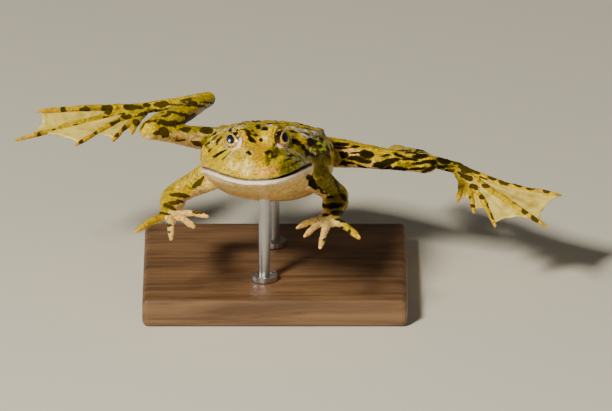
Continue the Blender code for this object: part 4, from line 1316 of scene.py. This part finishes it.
def skin_material():
    m = Nodes("frog_skin")
    broad = m.noise(110.0, 4.0, 0.6, 0.4)
    fine = m.noise(420.0, 4.0, 0.6)
    mosaic = m.noise(900.0, 3.0, 0.7, 0.5)
    dorsal = m.field("dorsal")
    green = m.plus(m.field("green"), m.swing(broad, 1.9))
    # Olive skin and painted shade, mottled
    olive_mottle_and_shade = m.plus(m.field("olive_and_shade"), m.swing(mosaic, 1.5))
    edge = m.plus(dorsal, m.swing(broad, 0.5))
    creamy = m.plus(m.field("cream"), m.swing(fine, 1.2))
    ragged = m.plus(m.field("dark"), m.swing(m.noise(520.0, 4.0, 0.65), 0.9))
    flecks = m.remap(mosaic, 0.5, 0.64, 0.0, 0.5)
    speckle = m.remap(m.noise(560.0, 3.0, 0.6, 0.6), 0.52, 0.66, 0.0, 0.6)
    grain = m.remap(m.noise(1000.0, 4.0, 0.7, 0.8), 0.3, 0.7, 0.48, 1.3)
    back = m.layers(
        m.mix(m.remap(green, 0.25, 0.85), YELLOW, GREEN),
        (m.times(m.field("warm"), 0.8), ORANGE),
        (m.field("yellow"), YELLOW),
        (m.field("gold"), GOLD),
        (m.remap(m.noise(300.0, 3.0, 0.6, 0.3), 0.5, 0.72, 0.0, 0.55), GOLD),
        (m.remap(olive_mottle_and_shade, 0.2, 1.0), OLIVE_AND_SHADE),
        (m.times(m.field("grey_and_glint"), m.remap(mosaic, 0.3, 0.6, 0.35, 1.0)), GREY_AND_GLINT),
    )
    belly = m.mix(m.remap(broad, 0.35, 0.7, 0.0, 0.6), CREAM, PINK)
    belly = m.mix(m.remap(mosaic, 0.5, 0.72, 0.0, 0.35), belly, ORANGE)
    colour = m.layers(
        m.mix(m.remap(edge, 0.35, 0.65), belly, back),
        (m.remap(creamy, 0.35, 0.7), belly),
        (m.times(m.field("warm"), 0.5), ORANGE),
        (m.field("rust"), RUST),
        (m.times(flecks, dorsal), FLECK),
        (m.times(speckle, dorsal), OLIVE_AND_SHADE),
        (m.field("pink"), PINK),
        (m.times(m.field("yellow"), 0.6), BRIGHT),
    )
    colour = m.layers(
        m.mix(1.0, colour, grain, "MULTIPLY"),
        (m.remap(ragged, -0.2, 0.02), BROWN),
        # Marks painted brown where lit and on the feet, and darkest as painted shade on the shaded side
        (m.remap(ragged, 0.05, 0.3), m.mix(m.field("mark_shade"), BARK, DARK)),
        (m.field("sheen"), SHEEN),
        (m.field("sky_reflection"), SKY_REFLECTION),
        (m.field("lime"), LIME),
        (m.field("pale"), WHITE),
        # Painted shade in the mouth's groove and the nostrils, with the dark line of the lids
        (m.field("crease_shade_and_lid_line"), DARK),
    )
    deep = m.maths("MAXIMUM", m.maths("MAXIMUM", olive_mottle_and_shade, m.field("crease_shade_and_lid_line")), m.remap(ragged, -0.2, 0.1))
    m.shade({
        "Base Color": colour,
        "Roughness": m.remap(fine, 0.3, 0.7, 0.38, 0.56),
        "Specular IOR Level": m.remap(deep, 0.2, 0.9, 0.16, 0.04),
        "Specular Tint": (1.0, 0.88, 0.6, 1.0),
        "Subsurface Weight": 0.03,
        "Subsurface Radius": (0.0015, 0.0007, 0.0003),
        "Subsurface Scale": 1.0,
        "Coat Weight": m.remap(deep, 0.1, 0.8, 0.28, 0.05),
        "Coat Roughness": 0.09,
    })
    cells = m.add("ShaderNodeTexVoronoi")
    m.link(m.place(), cells.inputs["Vector"])
    cells.inputs["Scale"].default_value = 1500.0
    m.bump(m.plus(fine, m.times(cells.outputs["Distance"], 0.4)), 0.6, 0.0004)
    return m.material


def web_material():
    m = Nodes("frog_web")
    m.shade({
        "Base Color": m.mix(m.remap(m.noise(260.0, 3.0, 0.6), 0.35, 0.75), WEB_LIGHT, WEB_DARK),
        "Roughness": 0.32,
        "Subsurface Weight": 0.3,
        "Subsurface Radius": (0.0015, 0.001, 0.0004),
        "Subsurface Scale": 1.0,
        "Coat Weight": 0.4,
    })
    m.bump(m.noise(700.0, 3.0), 0.3, 0.0002)
    return m.material


def eye_material():
    """A gold iris with a dark net, round a dark oval pupil, by fields on the ball."""
    m = Nodes("frog_eye")
    net = m.plus(m.noise(1100.0, 4.0, 0.7, 0.6), m.field("low"))
    colour = m.layers(
        m.mix(m.remap(net, 0.54, 0.62), IRIS_NET, IRIS),
        (m.field("rim"), IRIS_RIM),
        (m.field("cap"), IRIS_CAP),
        (m.field("streak"), IRIS_STREAK),
        (m.field("band"), WHITE),
        (m.field("pupil"), PUPIL_NAVY_REFLECTION),
    )
    m.shade({
        "Base Color": colour,
        "Roughness": 0.3,
        "Coat Weight": 1.0,
        "Coat Roughness": 0.02,
        "Coat IOR": 1.5,
    })
    return m.material


def wood_material():
    m = Nodes("stand_wood_grain")
    along = m.stretched(6.0, 60.0, 60.0)
    grain = m.noise(3.0, 6.0, 0.6, 1.2, along)
    pores = m.noise(14.0, 3.0, 0.7, 0.0, along)
    colour = m.mix(m.remap(grain, 0.3, 0.7), WOOD_DARK, WOOD_LIGHT)
    m.shade({
        "Base Color": m.mix(m.remap(pores, 0.6, 0.75, 0.0, 0.6), colour, WOOD_PORE),
        "Roughness": m.remap(pores, 0.3, 0.8, 0.38, 0.55),
    })
    m.bump(pores, 0.2, 0.0002)
    return m.material


def steel_material():
    m = Nodes("stand_steel_brushed")
    lines = m.noise(1.0, 3.0, 0.6, 0.0, m.stretched(900.0, 900.0, 40.0))
    m.shade({
        "Base Color": m.mix(lines, STEEL_DARK, STEEL_LIGHT),
        "Metallic": 1.0,
        "Roughness": m.remap(lines, 0.3, 0.7, 0.25, 0.4),
    })
    return m.material


def floor_material():
    m = Nodes("floor_pale")
    m.shade({"Base Color": m.mix(m.noise(2.0, 3.0), FLOOR_DARK, FLOOR_LIGHT), "Roughness": 0.8})
    return m.material


# Pieces

def dress(thing, material):
    """Put a piece in the row's frame, smooth and in one material."""
    mesh = thing.data
    set_points(mesh, (points_of(mesh) - np.array(BASE_CENTRE)) * METRES)
    mesh.shade_smooth()
    mesh.materials.clear()
    mesh.materials.append(material)


def skin_fields(points, normals, names, part, along, rise, marks):
    """Every field that the skin's material paints with."""
    local = to_head(points)
    seen = wandered(points)
    head = belongs(names, part, "head")
    face = head | (belongs(names, part, "torso") & (points[:, 1] < SEEN_FACE_DEPTH))
    hind = belongs(names, part, ("thigh", "shank", "tarsus", "toe"))
    left_arm = belongs(names, part, ("upper_arm_left", "forearm_left"))
    fields = {
        "dark": markings(points, normals, names, part, along, rise),
        "mark_shade": mark_shade_field(names, part),
        "dorsal": dorsal_field(names, part, rise, local, marks),
        "green": green_field(points, names, part),
        "warm": warm_field(names, part, along),
    }
    places = {
        "yellow": face | hind | left_arm,
        "olive_and_shade": face | hind | left_arm,
        "gold": face,
        "pink": face | hind,
        "grey_and_glint": face,
        "lime": face,
        "sky_reflection": face,
        "rust": hind,
        "cream": hind | belongs(names, part, ("upper_arm", "forearm")),
        "sheen": face | hind | belongs(names, part, "finger"),
    }
    for name, where in places.items():
        fields[name] = tone_field(seen, name, where)
    fields["olive_and_shade"] *= 1 - 0.75 * fields["yellow"] * head
    fields["pink"] *= 1 - fields["yellow"]
    fields["sky_reflection"] *= 0.5 + 0.9 * lattice_noise(points, 0.8, 47)
    streaks = lattice_noise(points * np.array((1.7, 0.6, 0.6)), 0.6, 41)
    broken = step(0.2, 0.75, streaks) * (0.35 + 1.1 * lattice_noise(points, 2.0, 43))
    broken *= (1 - step(-0.2, 0.05, fields["dark"])) * (1 - marks["nostril"])
    fields["sheen"] = np.clip(fields["sheen"] * broken, 0, 1)

    lip = marks["lip"]
    far = 0.55 * step(2.0, 12.0, local[:, 0])
    band = step(-1.75, -1.35, lip - far) * (1 - step(-0.35, -0.1, lip)) * (1 - 0.35 * far)
    jaw = step(-3.4, -2.2, lip) * (lip < 0.5) * head
    jaw_line = bell(lip, -1.95, 0.22) * head
    # Painted shade along the mouth's groove, darker on the shaded left side; the nostril holes are also
    # painted dark as shade
    mouth = marks["mouth"] * (0.8 + 0.4 * step(0.0, 8.0, local[:, 0]))
    fields["rust"] = np.maximum(fields["rust"], 0.45 * jaw_line)
    fields["pale"] = np.clip(band * 0.95 + 0.3 * jaw + 0.9 * marks["white_lid"] * head, 0, 1)
    fields["crease_shade_and_lid_line"] = np.clip(mouth + marks["nostril"] * 1.1 + marks["dark_lid"] * 0.45, 0, 1)
    return fields


def dress_skin():
    body = flesh()
    mesh = body.data
    refine_face(mesh)
    points = points_of(mesh)
    normals = normals_of(mesh)
    names, part, along, rise = locate(points)
    carved, marks = carve_face(points, normals)
    guard = np.clip(1 - marks["lid"] - marks["mouth"] - marks["nostril"], 0, 1)
    rough = roughen(carved, normals, names, part, rise)
    for name, values in skin_fields(points, normals, names, part, along, rise, marks).items():
        store_field(mesh, name, values)
    set_points(mesh, carved + (rough - carved) * guard[:, None])
    dress(body, skin_material())
    return body


def mark_shade_field(names, part):
    """1 where the marks are darkest: on the head, the torso and the frog's shaded left side, as painted
    shade; less where they are brown: on the feet, and on the sunlit right side, painted lighter as lit.
    """
    mark_shade = np.array([
        0.3 if name.startswith("toe") else 0.2 if name.endswith("_right") else 0.9 for name in names])
    return mark_shade[part]


def dorsal_field(names, part, rise, local, marks):
    """1 on the upper side and 0 on the pale underside."""
    dorsal = step(-0.75, -0.2, rise)
    dorsal = np.where(belongs(names, part, "torso"), step(-0.7, -0.3, rise), dorsal)
    arms = belongs(names, part, ("upper_arm", "forearm"))
    dorsal = np.where(arms, step(-0.35, 0.1, rise), dorsal)
    behind = step(24.0, 29.0, local[:, 1])
    on_head = step(-0.2, 0.4, marks["lip"]) * (1 - behind) + step(-0.5, 0.0, rise) * behind
    on_head = np.where(local[:, 2] < -3.0, behind * on_head, on_head)
    on_head = np.where(local[:, 2] > 2.6, 1.0, on_head)
    dorsal = np.where(belongs(names, part, "head"), on_head, dorsal)
    for digit, share in DIGIT_TOPS:
        dorsal = np.where(belongs(names, part, digit), share * dorsal, dorsal)
    return dorsal


def green_field(points, names, part):
    """How green the skin is between its marks: a little less on the limbs."""
    green = 0.1 + 0.6 * lattice_noise(points, 9.0, 31)
    return np.where(belongs(names, part, ("torso", "head")), green, green - 0.15)


def warm_field(names, part, along):
    """Orange on the digits, most on their tips."""
    return np.where(belongs(names, part, ("finger", "toe")), 0.1 + 0.5 * step(0.7, 1.0, along), 0.0)


def make_eye(side):
    sign = SIGN[side]
    bm = bmesh.new()
    ellipsoid(bm, Vector(), Vector((1, 1, 1)), Matrix.Identity(3), 96, 64)
    eye = new_object(f"eye_ball_{side}", bm)
    mesh = eye.data
    centre = np.array(head_point(EYE_PLACE, sign))
    points = centre + (points_of(mesh) * np.array(EYE_RADII)) @ np.array(HEAD_TURN).T
    gaze = (points - centre) @ np.array(eye_turn(sign)) / np.array(EYE_RADII.zyx)
    back, high = gaze[:, 1], gaze[:, 0] * -sign
    reach = np.sqrt(back**2 + high**2)

    def towards(to_back, to_high):
        """How far round each point is to one side of the gaze, 1 at most."""
        return (back * to_back + high * to_high) / np.maximum(reach, 1e-6)

    pupil_back, pupil_high, half_length, half_width = PUPIL[side]
    oval = np.sqrt(((back - pupil_back) / half_length) ** 2 + ((high - pupil_high) / half_width) ** 2)
    lobe_back, lobe_high, lobe_radius = EYE_LOBE[side]
    lobe = np.sqrt((back - lobe_back) ** 2 + (high - lobe_high) ** 2) / lobe_radius
    notch = (1 - step(0.85, 1.15, lobe)) * step(1.22, 1.34, oval)
    to_front, down, start, full = LID_LOW[side]
    fields = {
        "pupil": np.maximum(1 - step(0.95, 1.05, oval), notch),
        "rim": bell(oval, 1.17, 0.11),
        "band": bell(reach, 0.77, 0.06) * step(start, full, towards(-to_front, -down)),
        "streak": 0.85 * bell(reach, 0.62, 0.035) * step(0.45, 0.8, towards(-0.8, -0.6)),
        "cap": step(0.56, 0.64, reach) * step(0.35, 0.7, towards(0.5, 0.85)),
    }
    for name, values in fields.items():
        store_field(mesh, name, np.where(gaze[:, 2] > 0, values, 0.0))
    # The sunlit eye's iris is painted more golden, as lit
    store_field(mesh, "low", IRIS_GOLD[side] + 0.06 * step(0.15, -0.5, high))
    set_points(mesh, points)
    dress(eye, eye_material())
    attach(eye, "root")
    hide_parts(f"eye_{side}")
    return eye


def add_web(bm, path_a, path_b, reaches):
    """The skin between two toes: a thin curved plate with a hollowed free edge."""
    steps, columns = 24, 14
    reach_a, reach_b, hollow = reaches
    grid = {}
    for i in range(steps + 1):
        for j in range(columns + 1):
            share = j / columns
            reach = reach_a + (reach_b - reach_a) * share - hollow * 4 * share * (1 - share)
            place = WEB_ROOT + (reach - WEB_ROOT) * i / steps
            a = path_point(path_a, place)
            b = path_point(path_b, place)
            inset = WEB_INSET / (b - a).length
            point = a.lerp(b, inset + (1 - 2 * inset) * share)
            sag = WEB_SAG * math.sin(math.pi * share) + WEB_RIPPLE * math.sin(5 * math.pi * share)
            thin = WEB_THICKNESS * (0.5 + 0.5 * (1 - i / steps))
            for level in (-1, 1):
                grid[i, j, level] = bm.verts.new(point + Vector((0, 0, level * thin / 2 - sag)))
    for level in (-1, 1):
        for i in range(steps):
            for j in range(columns):
                corners = ((i, j), (i, j + 1), (i + 1, j + 1), (i + 1, j))
                bm.faces.new([grid[*corner, level] for corner in corners])
    edge = [(i, 0) for i in range(steps)] + [(steps, j) for j in range(columns)]
    edge += [(i, columns) for i in range(steps, 0, -1)] + [(0, j) for j in range(columns, 0, -1)]
    for here, there in zip(edge, edge[1:] + edge[:1]):
        bm.faces.new((grid[*here, -1], grid[*there, -1], grid[*there, 1], grid[*here, 1]))


def make_webs(side):
    bm = bmesh.new()
    paths = toe_paths(side)
    for a, b, reaches in zip(paths, paths[1:], WEB_REACHES[side]):
        add_web(bm, a, b, reaches)
    webs = new_object(f"foot_webs_{side}", bm)
    dress(webs, web_material())
    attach(webs, "root")
    return webs


def make_frog():
    body = dress_skin()
    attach(body, "root")
    flesh_nodes = ["head", "lower_jaw", "torso"]
    for side in SIDES:
        for limb in ("upper_arm", "forearm", "hand", "thigh", "shank", "tarsus", "foot"):
            flesh_nodes.append(f"{limb}_{side}")
    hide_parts(*flesh_nodes)
    for side in SIDES:
        make_eye(side)
        make_webs(side)


def dress_stand():
    wood = wood_material()
    steel = steel_material()
    for name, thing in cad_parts.items():
        if name.startswith("stand"):
            thing.data.materials.clear()
            thing.data.materials.append(wood if name == "stand_base" else steel)


def make_stage():
    bm = bmesh.new()
    bmesh.ops.create_grid(bm, x_segments=1, y_segments=1, size=FLOOR_SIZE)
    floor = new_object("floor", bm)
    floor.data.materials.append(floor_material())
    world = bpy.data.worlds.new("studio")
    bpy.context.scene.world = world
    world.use_nodes = True
    background = world.node_tree.nodes["Background"]
    background.inputs["Color"].default_value = (*WORLD_TINT, 1.0)
    background.inputs["Strength"].default_value = WORLD_STRENGTH
    for name, place, size, power_watts, tint, colours, glints in LIGHTS:
        light = bpy.data.lights.new(name, "AREA")
        light.size = size
        light.energy = power_watts
        light.color = tint
        thing = bpy.data.objects.new(name, light)
        thing.visible_diffuse = colours
        thing.visible_glossy = glints
        thing.location = place
        thing.rotation_mode = "QUATERNION"
        thing.rotation_quaternion = (LIGHT_AIM - place).to_track_quat("-Z", "Y")
        bpy.context.scene.collection.objects.link(thing)


def make_camera():
    """A long lens, level with the photograph's view; its frame is placed by the mouth's pixel."""
    across = (FRAME_PIXELS[0] / 2 - MOUTH_PIXEL[0]) * PIXEL
    down = (FRAME_PIXELS[1] / 2 - MOUTH_PIXEL[1]) * PIXEL
    view = Vector((0, math.cos(CAMERA_ELEVATION), -math.sin(CAMERA_ELEVATION)))
    up = Vector((0, math.sin(CAMERA_ELEVATION), math.cos(CAMERA_ELEVATION)))
    aim = (Vector((across, 0, 0)) - up * down - BASE_CENTRE) * METRES
    data = bpy.data.cameras.new("camera")
    data.sensor_width = SENSOR
    data.lens = SENSOR * CAMERA_DISTANCE / (FRAME_PIXELS[0] * PIXEL * METRES)
    camera = bpy.data.objects.new("camera", data)
    camera.location = aim - view * CAMERA_DISTANCE
    camera.rotation_mode = "QUATERNION"
    camera.rotation_quaternion = view.to_track_quat("-Z", "Y")
    bpy.context.scene.collection.objects.link(camera)
    bpy.context.scene.camera = camera


make_camera()
make_frog()
dress_stand()
make_stage()
